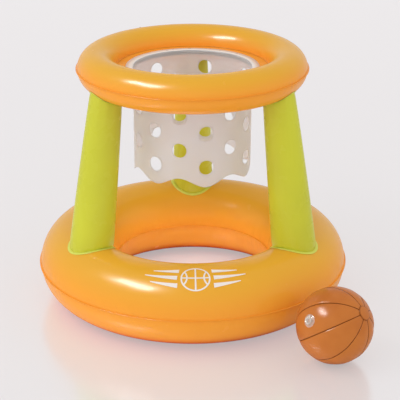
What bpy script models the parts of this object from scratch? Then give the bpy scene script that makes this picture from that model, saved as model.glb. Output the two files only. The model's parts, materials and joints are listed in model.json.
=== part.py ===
"""Inflatable pool basketball hoop with its ball, at its real size in metres.

A fat base ring floats on the water, three leaning columns carry a thinner top ring, and a
perforated net hangs from a flat web in the top ring's inner seam. Each sheet of vinyl, weld
and valve piece is its own object. The front is -Y, the floor is z = 0, and the origin is
the middle of the set's footprint.
"""

import math

import bmesh
import bpy
from mathutils import Matrix, Vector

# Sheets, seams and clearances
SKIN = 0.0005  # vinyl sheet of the rings, columns and ball
CLEAR = 0.0003  # gap between sheets that touch
WELD_CLEAR = 0.0005  # gap under a sheet that bends over a ring or the ball
SEAM_WIDTH = 0.003  # flat welded seam that stands out of a ring's tube
CUT_OVERRUN = 0.015  # how far a cutter runs past the sheet that it cuts
CUTTER_STEPS = 16

# Base ring
BASE_DIAMETER = 0.670  # over the welded seam
BASE_TUBE_DIAMETER = 0.164
FLOOR_FLAT_DEPTH = 0.0005  # the underside is pressed flat by this much
BASE_STEPS = 48
BASE_ARC_STEPS = 10

# Top ring
HOOP_HEIGHT = 0.550
TOP_DIAMETER = 0.488  # over the welded seam
TOP_TUBE_DIAMETER = 0.0786
TOP_STEPS = 36
TOP_ARC_STEPS = 8

# Columns
COLUMN_TURNS = {"back": 0.0, "left": 120.0, "right": -120.0}  # degrees from the back
COLUMN_FOOT_DIAMETER = 0.093
COLUMN_NECK_DIAMETER = 0.068  # where the axis meets the top ring
COLUMN_AIM_INSET = 0.003  # how far inside the top tube's middle the axis points
COLUMN_FOOT_TURN = 4.0  # degrees that the foot stands inside the top of the base tube
COLUMN_BELLY = 0.0005
COLUMN_STEPS = 32
COLUMN_ROWS = 4
FOOT_WELD_INSIDE = 0.004  # from the column's wall, measured across its axis
FOOT_WELD_OUTSIDE = 0.0045
NECK_WELD_INSIDE = 0.003
NECK_WELD_OUTSIDE = 0.0035
NECK_WELD_CLEAR = 0.001  # to the top ring, whose inner side bulges between its steps
AIR_HOLE_DIAMETER = 0.020  # lets air pass from a column into the top ring

# Net
WEB_WIDTH = 0.0374  # from the net out to the top ring's inner wall
NET_SHEET = 0.0004
NET_HOLE_DIAMETER = 0.030
NET_ROW_SPACING = 0.0365
NET_ROWS = 5
NET_LOBES = 7  # holes in one row, and scallops along the bottom edge
NET_LOBE_DEPTH = 0.019
NET_LOBE_REACH = 0.0435  # from the lowest row of holes down to the tip of a lobe
NET_TURN = 13.0  # degrees that the first lobe stands right of the front
BORDER_HEIGHT = 0.010  # of the leg that the net is welded in
BORDER_WIDTH = 0.0147  # of the flat rim that lies on the web

# Valves
VALVE_FLANGE_DIAMETER = 0.026
VALVE_FLANGE_THICKNESS = 0.0008
VALVE_STEM_DIAMETER = 0.012
VALVE_BORE_DIAMETER = 0.009
VALVE_RIM_DIAMETER = 0.016
VALVE_RIM_THICKNESS = 0.0015
VALVE_LIP_DIAMETER = 0.0145
VALVE_TRAVEL = 0.012  # how far the stem pulls out of the skin
VALVE_STEM_CLEAR = 0.0006  # gap between the stem and the hole in the skin
PLUG_HEAD_DIAMETER = 0.015
PLUG_HEAD_THICKNESS = 0.0015
PLUG_SHANK_LENGTH = 0.005
STRAP_WIDTH = 0.004
EAR_REACH = 0.001  # how far the rim's ear runs past the hinge of the plug
HINGE_SETBACK = 0.0015  # from the rim's edge out to the hinge of the plug
FLAP_THICKNESS = 0.0006
VALVE_STEPS = 16
PLUG_ROWS = 3
BASE_VALVE_AZIMUTH, BASE_VALVE_SLOPE = 30.0, 40.0  # degrees right of the back, and up the tube
TOP_VALVE_AZIMUTH, TOP_VALVE_SLOPE = -30.0, 35.0

# Ball
BALL_DIAMETER = 0.155
BALL_GAP = 0.029  # between the ball and the base ring's seam
BALL_HEADING = 39.5  # degrees right of the front, seen from the hoop's axis
BALL_POLE_HEADING = -33.0  # degrees from +X that the ball's upper pole points to
BALL_PANELS = 8
BALL_PANEL_STEPS = 3
BALL_ARC_STEPS = 12
BALL_REST_ROW = 8  # the row of facets that the ball lies on
BALL_ROLL = 15.0  # degrees that the first panel's middle lies past the ball's lowest side
POLE_HOLE_DIAMETER = 0.018
POLE_PATCH_DIAMETER = 0.030
POLE_PATCH_STEPS = 16
POLE_PATCH_ROWS = 2
BALL_VALVE_PANEL = 6
BALL_VALVE_POLAR_ANGLE = 90.0

# Colours, as the sRGB bytes of the clean vinyl
ORANGE = (240, 166, 66)
GREEN = (203, 208, 62)
PALE_GREEN = (222, 226, 96)
NET_WHITE = (224, 212, 210)
BORDER_WHITE = (240, 232, 224)
BALL_BROWN = (208, 130, 64)
CLEAR_WHITE = (232, 228, 222)
GLOSS = 0.32  # roughness of the vinyl
NET_ALPHA = 0.85
VALVE_ALPHA = 0.8

# Mesh settings
MERGE_DISTANCE = 1e-7
LANDING_TOLERANCE = 1e-9
LANDING_TRIES = 200
SHARP_ANGLE = 40.0

# Sizes that follow from the ones above
BASE_MINOR = BASE_TUBE_DIAMETER / 2
BASE_MAJOR = BASE_DIAMETER / 2 - SEAM_WIDTH - BASE_MINOR
BASE_HEIGHT = BASE_MINOR - FLOOR_FLAT_DEPTH
TOP_MINOR = TOP_TUBE_DIAMETER / 2
TOP_MAJOR = TOP_DIAMETER / 2 - SEAM_WIDTH - TOP_MINOR
TOP_HEIGHT = HOOP_HEIGHT - TOP_MINOR
NET_RADIUS = TOP_MAJOR - TOP_MINOR - WEB_WIDTH
BALL_RADIUS = BALL_DIAMETER / 2
SHEET_STACK = WELD_CLEAR + SKIN + CLEAR  # from a ring's surface over a weld to the next sheet
NECK_STACK = NECK_WELD_CLEAR + SKIN + CLEAR
BALL_DISTANCE = BASE_DIAMETER / 2 + BALL_GAP + BALL_RADIUS
BALL_X = BALL_DISTANCE * math.sin(math.radians(BALL_HEADING))
BALL_Y = -BALL_DISTANCE * math.cos(math.radians(BALL_HEADING))
HOOP_X = -(BALL_X + BALL_RADIUS - BASE_DIAMETER / 2) / 2
HOOP_Y = -(BALL_Y - BALL_RADIUS + BASE_DIAMETER / 2) / 2
RIM_LOW = WELD_CLEAR + VALVE_FLANGE_THICKNESS + CLEAR  # heights above the skin from here on
RIM_TOP = RIM_LOW + VALVE_RIM_THICKNESS
STEM_ROOM = VALVE_RIM_THICKNESS + RIM_TOP  # left under the skin when the stem is pulled out
LIP_TOP = RIM_LOW - VALVE_TRAVEL - STEM_ROOM
STEM_BOTTOM = LIP_TOP - VALVE_RIM_THICKNESS
HINGE_REACH = VALVE_RIM_DIAMETER / 2 + HINGE_SETBACK
HINGE_HEIGHT = RIM_TOP + CLEAR + PLUG_HEAD_THICKNESS / 2
FLAP_RADIUS = VALVE_STEM_DIAMETER / 2
FLAP_HEIGHT = STEM_BOTTOM - CLEAR - FLAP_THICKNESS / 2


def clear_scene():
    for old in list(bpy.data.objects):
        bpy.data.objects.remove(old, do_unlink=True)


def linear(byte):
    """One sRGB byte as the linear value that a shader takes."""
    share = byte / 255
    return share / 12.92 if share <= 0.04045 else ((share + 0.055) / 1.055) ** 2.4


def vinyl(name, colour, alpha):
    material = bpy.data.materials.new(name)
    material.use_nodes = True
    shader = material.node_tree.nodes["Principled BSDF"]
    shader.inputs["Base Color"].default_value = [linear(byte) for byte in colour] + [1.0]
    shader.inputs["Roughness"].default_value = GLOSS
    shader.inputs["Metallic"].default_value = 0.0
    shader.inputs["Alpha"].default_value = alpha
    return material


def empty(name, location=(0, 0, 0), parent=None):
    holder = bpy.data.objects.new(name, None)
    holder.location = location
    holder.parent = parent
    bpy.context.scene.collection.objects.link(holder)
    return holder


def mesh_from(name, bm):
    """Closes a bmesh into a smooth-shaded mesh whose faces point outwards."""
    bmesh.ops.remove_doubles(bm, verts=bm.verts, dist=MERGE_DISTANCE)
    bmesh.ops.recalc_face_normals(bm, faces=bm.faces)
    mesh = bpy.data.meshes.new(name)
    bm.to_mesh(mesh)
    bm.free()
    mesh.shade_smooth()
    mesh.set_sharp_from_angle(angle=math.radians(SHARP_ANGLE))
    return mesh


def place(name, mesh, parent, colour, alpha=1.0, location=(0, 0, 0)):
    """Adds a node of the part under its parent, with a material of its own."""
    piece = bpy.data.objects.new(name, mesh)
    piece.parent = parent
    piece.location = location
    bpy.context.scene.collection.objects.link(piece)
    if not mesh.materials:
        mesh.materials.append(None)
    piece.material_slots[0].link = "OBJECT"
    piece.material_slots[0].material = vinyl(name, colour, alpha)
    return piece


def turned(outline, steps, closed=True):
    """Spins an outline of (radius, height) points about Z into a bmesh.

    A closed outline makes a ring, and an open one starts and ends on the axis.
    """
    bm = bmesh.new()
    verts = [bm.verts.new((radius, 0, height)) for radius, height in outline]
    edges = [bm.edges.new(pair) for pair in zip(verts, verts[1:])]
    if closed:
        edges.append(bm.edges.new((verts[-1], verts[0])))
    bmesh.ops.spin(bm, geom=verts + edges, cent=(0, 0, 0), axis=(0, 0, 1),
                   angle=math.tau, steps=steps, use_merge=True)
    return bm


def cut(piece, cutter_mesh, placements, parent):
    """Cuts copies of one closed shape, joined in a hidden cutter, out of a piece."""
    bm = bmesh.new()
    for matrix in placements:
        before = len(bm.verts)
        bm.from_mesh(cutter_mesh)
        bm.verts.ensure_lookup_table()
        bmesh.ops.transform(bm, matrix=matrix, verts=bm.verts[before:])
    mesh = bpy.data.meshes.new(piece.name + "_cutter")
    bm.to_mesh(mesh)
    bm.free()
    cutter = bpy.data.objects.new(piece.name + "_cutter", mesh)
    cutter.parent = parent
    cutter.hide_render = True
    cutter.display_type = "WIRE"
    bpy.context.scene.collection.objects.link(cutter)
    boolean = piece.modifiers.new("holes", "BOOLEAN")
    boolean.object = cutter
    boolean.operation = "DIFFERENCE"
    boolean.solver = "EXACT"


def rod(radius):
    """A closed cylinder along Z, long enough to cut through a sheet at its middle."""
    outline = [(0, -CUT_OVERRUN), (radius, -CUT_OVERRUN), (radius, CUT_OVERRUN), (0, CUT_OVERRUN)]
    return mesh_from("rod", turned(outline, CUTTER_STEPS, closed=False))


def base_middle(point):
    """The point of the base ring's middle circle that lies nearest to a point of the hoop's frame."""
    return Vector((point.x, point.y, 0)).normalized() * BASE_MAJOR + Vector((0, 0, BASE_HEIGHT))


def top_middle(point):
    return Vector((point.x, point.y, 0)).normalized() * TOP_MAJOR + Vector((0, 0, TOP_HEIGHT))


def base_distance(point):
    """How far a point of the hoop's frame lies outside the base ring's tube."""
    return (point - base_middle(point)).length - BASE_MINOR


def top_distance(point):
    return (point - top_middle(point)).length - TOP_MINOR


def ball_distance(point):
    return point.length - BALL_RADIUS


def land(start, direction, distance, clearance):
    """Slides a point along a direction until it keeps a clearance to a surface."""
    point = start.copy()
    for _ in range(LANDING_TRIES):
        left = distance(point) - clearance
        point += direction * left
        if abs(left) < LANDING_TOLERANCE:
            break
    return point


def land_on_tube(start, direction, middle_of_tube, distance, clearance):
    """Lands a point on a tube, drawn in to its side where the direction would miss it."""
    nearest = start + direction * (middle_of_tube(start) - start).dot(direction)
    if distance(nearest) > clearance:
        start, direction = nearest, (middle_of_tube(nearest) - nearest).normalized()
    return land(start, direction, distance, clearance)


def arc(radius, start, end, steps):
    """Points (across, up) along an arc about the tube's middle."""
    angles = [start + (end - start) * step / steps for step in range(steps + 1)]
    return [(radius * math.cos(angle), radius * math.sin(angle)) for angle in angles]


def wall_points(minor, inset, gaps, arc_steps, flat_depth):
    """One face of a half tube's sheet, from the outer seam over the tube to the inner seam."""
    radius = minor - inset
    lift = SKIN - inset
    start = math.asin((gaps[0] / 2 + lift) / radius)
    end = math.pi - math.asin((gaps[1] / 2 + lift) / radius)
    if not flat_depth:
        return arc(radius, start, end, arc_steps)
    flat = math.acos((radius - flat_depth) / radius)
    half_steps = arc_steps // 2
    return (arc(radius, start, math.pi / 2 - flat, half_steps)
            + arc(radius, math.pi / 2 + flat, end, half_steps))


def ring_skin(major, minor, gaps, steps, arc_steps, side, flat_depth=0.0):
    """The sheet over one half of a ring's tube, with the flat seams welded to its twin.

    gaps are the openings between the two sheets at the outer and the inner seam, and side
    is 1 for the upper sheet and -1 for the lower one.
    """
    outside = wall_points(minor, 0.0, gaps, arc_steps, flat_depth)
    inside = wall_points(minor, SKIN, gaps, arc_steps, flat_depth)
    outer_edge = minor + SEAM_WIDTH
    outline = [(outer_edge, gaps[0] / 2 + SKIN)] + outside
    outline += [(-outer_edge, gaps[1] / 2 + SKIN), (-outer_edge, gaps[1] / 2)]
    outline += inside[::-1] + [(outer_edge, gaps[0] / 2)]
    return turned([(major + across, side * up) for across, up in outline], steps)


def base_ring(hoop):
    middle = empty("base_ring_middle", (0, 0, BASE_HEIGHT), hoop)
    gaps = (CLEAR, CLEAR)
    upper = ring_skin(BASE_MAJOR, BASE_MINOR, gaps, BASE_STEPS, BASE_ARC_STEPS, 1)
    lower = ring_skin(BASE_MAJOR, BASE_MINOR, gaps, BASE_STEPS, BASE_ARC_STEPS, -1, FLOOR_FLAT_DEPTH)
    upper_skin = place("base_ring_upper_skin", mesh_from("base_upper", upper), middle, ORANGE)
    place("base_ring_lower_skin", mesh_from("base_lower", lower), middle, ORANGE)
    seat = valve_seat(BASE_MAJOR, BASE_MINOR, BASE_VALVE_AZIMUTH, BASE_VALVE_SLOPE)
    cut(upper_skin, rod(VALVE_STEM_DIAMETER / 2 + VALVE_STEM_CLEAR), [seat], middle)
    valve("base_valve", middle, seat, lambda point: base_distance(point + middle.location))


def top_ring(hoop):
    middle = empty("top_ring_middle", (0, 0, TOP_HEIGHT), hoop)
    gaps = (CLEAR, SKIN + 2 * CLEAR)
    upper = ring_skin(TOP_MAJOR, TOP_MINOR, gaps, TOP_STEPS, TOP_ARC_STEPS, 1)
    lower = ring_skin(TOP_MAJOR, TOP_MINOR, gaps, TOP_STEPS, TOP_ARC_STEPS, -1)
    upper_skin = place("top_ring_upper_skin", mesh_from("top_upper", upper), middle, ORANGE)
    lower_skin = place("top_ring_lower_skin", mesh_from("top_lower", lower), middle, ORANGE)
    seat = valve_seat(TOP_MAJOR, TOP_MINOR, TOP_VALVE_AZIMUTH, TOP_VALVE_SLOPE)
    cut(upper_skin, rod(VALVE_STEM_DIAMETER / 2 + VALVE_STEM_CLEAR), [seat], middle)
    foot, axis, length = column_frame()
    under = Matrix.Translation(foot + axis * length - middle.location)
    holes = [Matrix.Rotation(math.radians(turn), 4, "Z") @ under for turn in COLUMN_TURNS.values()]
    cut(lower_skin, rod(AIR_HOLE_DIAMETER / 2), holes, middle)
    net(middle)
    valve("top_valve", middle, seat, lambda point: top_distance(point + middle.location))


def column_frame():
    """Foot centre, direction and length of the back column's axis, in the hoop's frame."""
    turn = math.radians(COLUMN_FOOT_TURN)
    out_of_tube = Vector((0, -math.sin(turn), math.cos(turn)))
    foot = Vector((0, BASE_MAJOR, BASE_HEIGHT)) + out_of_tube * BASE_MINOR
    axis = (Vector((0, TOP_MAJOR - COLUMN_AIM_INSET, TOP_HEIGHT)) - foot).normalized()
    return foot, axis, (land(foot, axis, top_distance, 0.0) - foot).length


def around_column(azimuth, radius, along):
    """A point of the hoop's frame, by azimuth, radius and height about the column's axis."""
    foot, axis, _ = column_frame()
    side = Vector((1, 0, 0))
    depth = axis.cross(side)
    return foot + axis * along + (side * math.cos(azimuth) + depth * math.sin(azimuth)) * radius


def column_wall(azimuth, inset):
    """Points up one face of the column's sheet, from the base ring to the top ring."""
    foot, _, length = column_frame()
    bottom = around_column(azimuth, COLUMN_FOOT_DIAMETER / 2 - inset, 0)
    top = around_column(azimuth, COLUMN_NECK_DIAMETER / 2 - inset, length)
    slope = (top - bottom).normalized()
    middle = (bottom + top) / 2
    low = land_on_tube(middle, -slope, base_middle, base_distance, SHEET_STACK)
    high = land_on_tube(middle, slope, top_middle, top_distance, NECK_STACK)
    outward = (bottom - foot).normalized()
    points = []
    for row in range(COLUMN_ROWS + 1):
        share = row / COLUMN_ROWS
        points.append(low.lerp(high, share) + outward * COLUMN_BELLY * math.sin(math.pi * share))
    return points


def swept(loops):
    """Closes a ring of closed loops, each with the same number of points, into a bmesh."""
    bm = bmesh.new()
    rings = [[bm.verts.new(point) for point in loop] for loop in loops]
    for ring, following in zip(rings, rings[1:] + rings[:1]):
        count = len(ring)
        for index in range(count):
            after = (index + 1) % count
            bm.faces.new((ring[index], ring[after], following[after], following[index]))
    return bm


def weld_loop(azimuth, wall_end, reaches, middle_of_tube, distance, clearance):
    """Section of a weld ring that lies on a tube, on both sides of the end of a column's wall."""
    outward = around_column(azimuth, COLUMN_FOOT_DIAMETER / 2, 0) - around_column(azimuth, 0, 0)
    loop = []
    for reach, height in ((-reaches[0], clearance), (reaches[1], clearance),
                          (reaches[1], clearance + SKIN), (-reaches[0], clearance + SKIN)):
        start = wall_end + outward.normalized() * reach
        loop.append(land(start, (middle_of_tube(start) - start).normalized(), distance, height))
    return loop


def columns(hoop):
    """Three leaning tubes, each with a weld ring between its wall and the tube at either end."""
    azimuths = [math.tau * step / COLUMN_STEPS for step in range(COLUMN_STEPS)]
    tube = mesh_from("column", swept([column_wall(azimuth, 0.0) + column_wall(azimuth, SKIN)[::-1]
                                      for azimuth in azimuths]))
    foot_weld = mesh_from("foot_weld", swept([
        weld_loop(azimuth, column_wall(azimuth, 0.0)[0], (FOOT_WELD_INSIDE, FOOT_WELD_OUTSIDE),
                  base_middle, base_distance, WELD_CLEAR)
        for azimuth in azimuths]))
    neck_weld = mesh_from("neck_weld", swept([
        weld_loop(azimuth, column_wall(azimuth, 0.0)[-1], (NECK_WELD_INSIDE, NECK_WELD_OUTSIDE),
                  top_middle, top_distance, NECK_WELD_CLEAR)
        for azimuth in azimuths]))
    for name, turn in COLUMN_TURNS.items():
        holder = empty("column_" + name, parent=hoop)
        holder.rotation_euler.z = math.radians(turn)
        place("column_" + name + "_skin", tube, holder, GREEN)
        place("column_" + name + "_foot_weld", foot_weld, holder, PALE_GREEN)
        place("column_" + name + "_neck_weld", neck_weld, holder, PALE_GREEN)


def net_point(azimuth, height):
    """A point of the net's outer face, by azimuth from a lobe and height from its top."""
    return Vector((NET_RADIUS * math.cos(azimuth), NET_RADIUS * math.sin(azimuth), height))


def net_level(half_rows):
    """Height of a line of the net's cells, counted in half rows down from its top."""
    return -NET_ROW_SPACING / 2 * half_rows


def scallop(azimuth):
    """Height of the net's lower edge, lowest under each hole of the last row."""
    wave = 1 - math.cos(azimuth * NET_LOBES)
    return net_level(2 * NET_ROWS) - NET_LOBE_REACH + NET_LOBE_DEPTH * wave / 2


def net_cell(bm, azimuth, high, low, hole_row=None):
    """Fills one cell of the net around its round hole, or to its middle if it has none.

    high and low are its upper and lower lines in half rows. Past the last row, the cell runs
    down to the scalloped edge.
    """
    half = math.pi / (2 * NET_LOBES)
    top = net_level(high)
    if low > 2 * NET_ROWS:
        shares = (-1, -0.5, 0, 0.5, 1)
        bottom = [(azimuth + half * share, scallop(azimuth + half * share)) for share in shares]
        last = net_level(2 * NET_ROWS)
        sides = [(bottom[0][1] + last) / 2] + [net_level(line) for line in range(2 * NET_ROWS, high, -1)]
    else:
        bottom = [(azimuth + half * share, net_level(low)) for share in (-1, 0, 1)]
        sides = [net_level(line) for line in range(low - 1, high, -1)]
    loop = bottom + [(azimuth + half, height) for height in sides]
    loop += [(azimuth + half * share, top) for share in (1, 0, -1)]
    loop += [(azimuth - half, height) for height in reversed(sides)]
    rim = [bm.verts.new(net_point(*point)) for point in loop]
    count = len(rim)
    pairs = [(index, (index + 1) % count) for index in range(count)]
    if hole_row is None:
        middle = bm.verts.new(net_point(azimuth, (top + bottom[len(bottom) // 2][1]) / 2))
        for index, after in pairs:
            bm.faces.new((rim[index], rim[after], middle))
        return
    radius = NET_HOLE_DIAMETER / 2
    hole = []
    for index in range(count):
        angle = math.tau * (index - len(bottom) // 2) / count
        across = radius * math.sin(angle) / NET_RADIUS
        height = net_level(2 * hole_row) - radius * math.cos(angle)
        hole.append(bm.verts.new(net_point(azimuth + across, height)))
    for index, after in pairs:
        bm.faces.new((rim[index], rim[after], hole[after], hole[index]))


def net_column(bm, azimuth, lowest_row):
    """A strip of the net from its top to its scalloped edge, with every other row's hole."""
    if lowest_row < NET_ROWS:
        net_cell(bm, azimuth, 2 * NET_ROWS, 2 * NET_ROWS + 2)
    for row in range(lowest_row, 0, -2):
        net_cell(bm, azimuth, 2 * row - 2, 2 * row + 2, hole_row=row)
    if row > 1:
        net_cell(bm, azimuth, 0, 2 * row - 2)


def net(ring_middle):
    """The perforated tube, its border and the flat web that hangs them in the top ring."""
    holder = empty("net_middle", parent=ring_middle)
    holder.rotation_euler.z = math.radians(NET_TURN - 90)
    leg_inside = NET_RADIUS + CLEAR
    leg_outside = leg_inside + SKIN
    web_top = SKIN / 2
    border_low = web_top + CLEAR
    border_top = border_low + SKIN
    steps = 4 * NET_LOBES
    web_inside, web_outside = leg_outside + CLEAR, TOP_MAJOR - TOP_MINOR - CLEAR
    web = turned([(web_inside, -web_top), (web_outside, -web_top),
                  (web_outside, web_top), (web_inside, web_top)], steps)
    place("net_web", mesh_from("net_web", web), holder, ORANGE)
    flange_outside = leg_inside + BORDER_WIDTH
    leg_low = border_top - BORDER_HEIGHT
    border = turned([(leg_inside, leg_low), (leg_outside, leg_low), (leg_outside, border_low),
                     (flange_outside, border_low), (flange_outside, border_top),
                     (leg_inside, border_top)], steps)
    place("net_border", mesh_from("net_border", border), holder, BORDER_WHITE)
    bm = bmesh.new()
    for lobe in range(NET_LOBES):
        azimuth = math.tau * lobe / NET_LOBES
        net_column(bm, azimuth, NET_ROWS)
        net_column(bm, azimuth + math.pi / NET_LOBES, NET_ROWS - 1)
    panel = place("net_panel", mesh_from("net_panel", bm), holder, NET_WHITE, alpha=NET_ALPHA,
                  location=(0, 0, border_top))
    thicken(panel, NET_SHEET)


def thicken(piece, thickness):
    """Gives an open sheet its thickness on the inner side."""
    solidify = piece.modifiers.new("sheet", "SOLIDIFY")
    solidify.thickness = thickness
    solidify.offset = -1.0


def frame_matrix(origin, normal, uphill):
    """A valve's frame: Z out of the skin, and X downhill, so that the plug's hinge is on top."""
    side = -(uphill - normal * uphill.dot(normal)).normalized()
    matrix = Matrix((side, normal.cross(side), normal)).transposed().to_4x4()
    matrix.translation = origin
    return matrix


def valve_seat(major, minor, azimuth, slope):
    """Where a valve stands on a ring, by its angle right of the back and its angle up the tube."""
    turn, tilt = math.radians(azimuth), math.radians(slope)
    out = Vector((math.sin(turn), math.cos(turn), 0))
    up = Vector((0, 0, 1))
    normal = out * math.cos(tilt) + up * math.sin(tilt)
    return frame_matrix(out * major + normal * minor, normal, up)


def draw_out(bm, radius, low, high, reaches):
    """Extrudes the two facets on the -X side of a disc's edge outwards, into an ear or a strap.

    reaches holds, for each step, how far the new end lies from the axis and the share of the
    thickness that it keeps.
    """
    middle = (low + high) / 2
    faces = [face for face in bm.faces
             if low < face.calc_center_median().z < high
             and face.calc_center_median().x < -radius * math.cos(math.tau / VALVE_STEPS) ** 2
             and abs(face.normal.z) < -face.normal.x]
    for reach, share in reaches:
        grown = bmesh.ops.extrude_face_region(bm, geom=faces)["geom"]
        bmesh.ops.delete(bm, geom=faces, context="FACES")
        faces = [item for item in grown if isinstance(item, bmesh.types.BMFace)]
        for vert in {vert for face in faces for vert in face.verts}:
            side = 0 if abs(vert.co.y) < CLEAR else math.copysign(STRAP_WIDTH / 2, vert.co.y)
            height = middle + math.copysign((high - low) / 2 * share, vert.co.z - middle)
            vert.co = (-reach, side, height)


def stem_mesh():
    """Hollow stem with a rim over the flange, a lip below the skin and an ear for the plug."""
    bore, outside = VALVE_BORE_DIAMETER / 2, VALVE_STEM_DIAMETER / 2
    rim, lip = VALVE_RIM_DIAMETER / 2, VALVE_LIP_DIAMETER / 2
    bm = turned([(bore, RIM_TOP), (rim, RIM_TOP), (rim, RIM_LOW), (outside, RIM_LOW),
                 (outside, LIP_TOP), (lip, LIP_TOP), (lip, STEM_BOTTOM), (bore, STEM_BOTTOM)],
                VALVE_STEPS)
    bmesh.ops.recalc_face_normals(bm, faces=bm.faces)
    draw_out(bm, rim, RIM_LOW, RIM_TOP, [(HINGE_REACH + EAR_REACH, 1.0)])
    return mesh_from("valve_stem", bm)


def shank_radius(depth):
    """The widest plug at a depth below its hinge that still swings out of the bore."""
    reach = HINGE_REACH + VALVE_BORE_DIAMETER / 2
    return math.sqrt(reach ** 2 - depth ** 2) - HINGE_REACH - CLEAR


def plug_mesh():
    """Head, rounded shank and strap of the plug, with its hinge axis at the origin."""
    head = PLUG_HEAD_DIAMETER / 2
    half = PLUG_HEAD_THICKNESS / 2
    outline = [(0, half), (head, half), (head, -half)]
    for row in range(PLUG_ROWS + 1):
        depth = half + (CLEAR + PLUG_SHANK_LENGTH) * row / PLUG_ROWS
        outline.append((shank_radius(depth), -depth))
    outline.append((0, outline[-1][1]))
    bm = turned(outline, VALVE_STEPS, closed=False)
    bmesh.ops.remove_doubles(bm, verts=bm.verts, dist=MERGE_DISTANCE)
    bmesh.ops.recalc_face_normals(bm, faces=bm.faces)
    round_share = math.sqrt(0.5)
    draw_out(bm, head, -half, half,
             [(HINGE_REACH, 1.0), (HINGE_REACH + half * round_share, round_share)])
    bmesh.ops.translate(bm, verts=bm.verts, vec=(HINGE_REACH, 0, 0))
    return mesh_from("valve_plug", bm)


def flap_mesh():
    """The round check flap under the stem, with its hinge axis at the origin."""
    half = FLAP_THICKNESS / 2
    bm = turned([(0, half), (FLAP_RADIUS, half), (FLAP_RADIUS, -half), (0, -half)],
                VALVE_STEPS, closed=False)
    bmesh.ops.translate(bm, verts=bm.verts, vec=(FLAP_RADIUS, 0, 0))
    return mesh_from("valve_flap", bm)


def flange_mesh(seat, distance):
    """The welded disc around the stem, bent over the skin that it sits on."""
    inside = VALVE_STEM_DIAMETER / 2 + CLEAR
    outside = VALVE_FLANGE_DIAMETER / 2
    raised = WELD_CLEAR + VALVE_FLANGE_THICKNESS
    down = Vector((0, 0, -1))
    loops = []
    for step in range(VALVE_STEPS):
        angle = math.tau * step / VALVE_STEPS
        loop = []
        for radius, clearance in ((inside, WELD_CLEAR), (outside, WELD_CLEAR),
                                  (outside, raised), (inside, raised)):
            above = Vector((radius * math.cos(angle), radius * math.sin(angle), RIM_TOP))
            loop.append(land(above, down, lambda point: distance(seat @ point), clearance))
        loops.append(loop)
    return mesh_from("valve_flange", swept(loops))


def valve(name, holder, seat, distance):
    """A push-in valve: flange, sliding stem, hinged plug and check flap."""
    frame = empty(name + "_seat", parent=holder)
    frame.matrix_basis = seat
    place(name + "_flange", flange_mesh(seat, distance), frame, CLEAR_WHITE, alpha=VALVE_ALPHA)
    stem = place(name + "_stem", stem_mesh(), frame, CLEAR_WHITE, alpha=VALVE_ALPHA)
    place(name + "_plug", plug_mesh(), stem, CLEAR_WHITE, alpha=VALVE_ALPHA,
          location=(-HINGE_REACH, 0, HINGE_HEIGHT))
    place(name + "_flap", flap_mesh(), stem, CLEAR_WHITE, alpha=VALVE_ALPHA,
          location=(-FLAP_RADIUS, 0, FLAP_HEIGHT))


def ball_polar_angles():
    """Angles from the ball's pole to the lines of facets between its two pole holes."""
    start = math.asin(POLE_HOLE_DIAMETER / BALL_DIAMETER)
    span = math.pi - 2 * start
    return [start + span * step / BALL_ARC_STEPS for step in range(BALL_ARC_STEPS + 1)]


def rest_facet():
    """Polar angle of the normal of the facet that the ball lies on, and its distance."""
    polar = ball_polar_angles()
    squeeze = math.cos(math.pi / BALL_PANELS / BALL_PANEL_STEPS)
    corners = [Vector((math.sin(angle) * squeeze, math.cos(angle))) * BALL_RADIUS
               for angle in polar[BALL_REST_ROW:BALL_REST_ROW + 2]]
    chord = corners[1] - corners[0]
    normal = Vector((-chord.y, chord.x)).normalized()
    return math.atan2(normal.x, normal.y), normal.dot(corners[0])


def panel_mesh():
    """One of the ball's orange-peel panels, drawn in a little at its two seams."""
    bm = bmesh.new()
    polar = ball_polar_angles()
    verts = [bm.verts.new((BALL_RADIUS * math.sin(angle), 0, BALL_RADIUS * math.cos(angle)))
             for angle in polar]
    edges = [bm.edges.new(pair) for pair in zip(verts, verts[1:])]
    width = math.tau / BALL_PANELS
    bmesh.ops.rotate(bm, verts=verts, matrix=Matrix.Rotation(-width / 2, 3, "Z"))
    bmesh.ops.spin(bm, geom=verts + edges, cent=(0, 0, 0), axis=(0, 0, 1),
                   angle=width, steps=BALL_PANEL_STEPS)
    for vert in bm.verts:
        turn = math.atan2(vert.co.y, vert.co.x)
        if abs(turn) > width / 2 - width / BALL_PANEL_STEPS / 2:
            across = Vector((-math.sin(turn), math.cos(turn), 0))
            vert.co -= across * math.copysign(CLEAR / 2, turn)
    bmesh.ops.recalc_face_normals(bm, faces=bm.faces)
    if sum(face.normal.dot(face.calc_center_median()) for face in bm.faces) < 0:
        bmesh.ops.reverse_faces(bm, faces=bm.faces)
    mesh = bpy.data.meshes.new("ball_panel")
    bm.to_mesh(mesh)
    bm.free()
    mesh.shade_smooth()
    return mesh


def pole_patch_mesh(side):
    """The round patch that closes the panels' points at one pole."""
    low, high = BALL_RADIUS + WELD_CLEAR, BALL_RADIUS + WELD_CLEAR + SKIN
    edge = math.asin(POLE_PATCH_DIAMETER / BALL_DIAMETER)
    angles = [edge * step / POLE_PATCH_ROWS for step in range(POLE_PATCH_ROWS + 1)]
    outline = [(high * math.sin(angle), side * high * math.cos(angle)) for angle in angles]
    outline += [(low * math.sin(angle), side * low * math.cos(angle)) for angle in angles[::-1]]
    return mesh_from("pole_patch", turned(outline, POLE_PATCH_STEPS, closed=False))


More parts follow.
